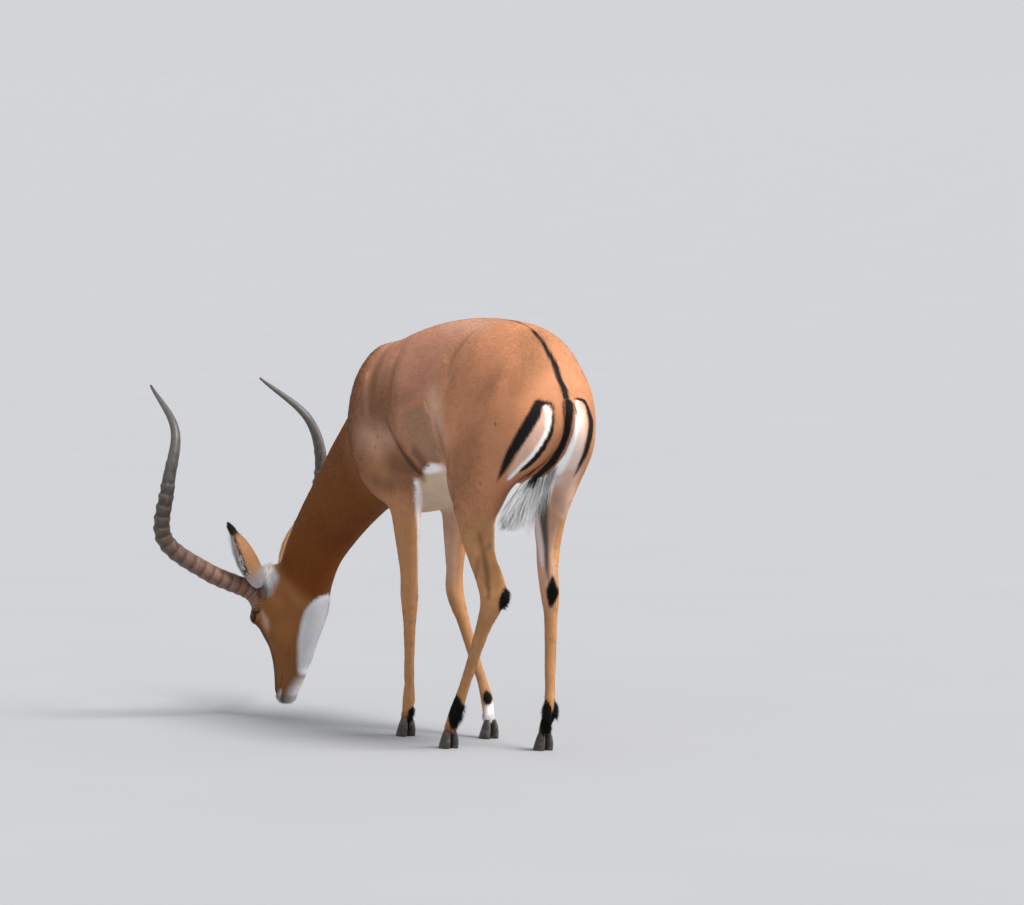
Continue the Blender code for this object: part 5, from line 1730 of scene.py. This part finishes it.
for number, (place, reach, way, lengths) in enumerate(BLACK_TUFTS):
    grow(f"black_tuft_{number + 1}", TUFT_SEED + number, TUFT_HAIRS, spot(place, reach), lengths,
         0.0011, 0.0012, way, black=1.0)


def above_claws(points, normals):
    """The last of each leg, over the top of the claws."""
    return step(0.056 - points[:, 2], 0.006)


def on_throat(points, normals):
    """The pale throat, but not the chin."""
    z = points[:, 2]
    on_chin = step(0.118 - z, 0.010)
    white = markings(points, normals)["throat"]
    return white * nearness_to_head(points) * (1 - on_chin) * step(0.27 - z, 0.03)


EAR_ROOT_SPOTS = [(.034, -.052, .046), (.041, -.058, .028), (.046, -.046, .008)]


def round_ears(points, normals):
    """The roots of both ears."""
    return sum(stroke(points, path, (.030, .040, .034), 0.014) for path in both_sides(EAR_ROOT_SPOTS))


grow("coronet_hair", 51, 3000, above_claws, (0.005, 0.009), 0.0010, 0.0008, (0, 0.05, -1.0))
grow("throat_hair", 53, 5200, on_throat, (0.007, 0.013), 0.0010, 0.0006, (0, 0.25, 1.0),
     region="head", droop=0.0)
grow("ear_root_fluff", 54, 3400, round_ears, (0.007, 0.013), 0.0009, 0.0016, (0, 0.40, 1.0),
     region="head", droop=0.0, grey=0.10)

# %% [markdown]
# ## Floor, light and camera
# The model stands on a plain pale floor in soft light from large lamps, brightest from the
# rear right, so that the rump is lit and the far side of neck and head lies in calm shade.

# %% Floor
FLOOR_RADIUS = 250.0
FLOOR_SIDES = 96
FLOOR_DARKER = (0.313, 0.323, 0.343)
FLOOR_LIGHTER = (0.331, 0.342, 0.364)
floor_turns = 2 * np.pi * np.arange(FLOOR_SIDES) / FLOOR_SIDES
floor_corners = np.column_stack([np.cos(floor_turns), np.sin(floor_turns), 0 * floor_turns]) * FLOOR_RADIUS
floor = make_piece("floor", floor_corners, np.arange(FLOOR_SIDES)[None, :], smooth=False)
floor_paint = Finish("floor_paint", Roughness=0.85)
floor_tone = floor_paint.noise((1.0, 1.0, 1.0), 1.5, 2.0)
floor_paint.colour(floor_paint.blend(floor_tone, FLOOR_DARKER, FLOOR_LIGHTER))
floor.data.materials.append(floor_paint.material)

# %% Light
MIDDLE = np.array((0.0, -0.45, 0.50))
SKY_COLOUR = (0.80, 0.82, 0.85, 1.0)
SKY_STRENGTH = 0.81
LAMPS = (
    # name, where it shines from, strength, apparent size in degrees, colour
    ("key", (-0.7, 2.0, 4.2), 4.25, 22.0, (1.0, 0.965, 0.92)),
    ("side", (-3.8, 2.4, 1.4), 1.80, 30.0, (1.0, 0.95, 0.90)),
    ("fill", (4.6, 2.4, 2.2), 0.34, 60.0, (1.0, 0.98, 0.96)),
)
for name, place, power, spread, tint in LAMPS:
    lamp_data = bpy.data.lights.new(name, "SUN")
    lamp_data.energy = power
    lamp_data.angle = math.radians(spread)
    lamp_data.color = tint
    lamp = bpy.data.objects.new(name, lamp_data)
    bpy.context.scene.collection.objects.link(lamp)
    lamp.location = Vector(np.array(place) + ORIGIN)
    lamp.rotation_euler = (Vector(MIDDLE) - Vector(place)).to_track_quat("-Z", "Y").to_euler()
world = bpy.data.worlds.new("studio")
world.use_nodes = True
world.node_tree.nodes["Background"].inputs["Color"].default_value = SKY_COLOUR
world.node_tree.nodes["Background"].inputs["Strength"].default_value = SKY_STRENGTH
bpy.context.scene.world = world
print("lamps:", len(LAMPS), "sky strength:", SKY_STRENGTH)

# %% Camera
CAMERA_PLACE = (6.7111, 10.5192, 1.5346)
CAMERA_AZIMUTH, CAMERA_ELEVATION = 148.0, 4.0
CAMERA_LENS, CAMERA_SENSOR = 206.5, 36.0
CAMERA_FARTHEST = 400.0
camera_data = bpy.data.cameras.new("camera")
camera_data.lens = CAMERA_LENS
camera_data.sensor_width = CAMERA_SENSOR
camera_data.clip_end = CAMERA_FARTHEST
camera = bpy.data.objects.new("camera", camera_data)
bpy.context.scene.collection.objects.link(camera)
camera.location = Vector(np.array(CAMERA_PLACE) + ORIGIN)
camera.rotation_euler = (math.radians(90.0 - CAMERA_ELEVATION), 0.0, math.radians(CAMERA_AZIMUTH))
bpy.context.scene.camera = camera
bpy.context.scene.view_settings.view_transform = "Standard"

# %% Bring the scene up to date
bpy.context.view_layer.update()
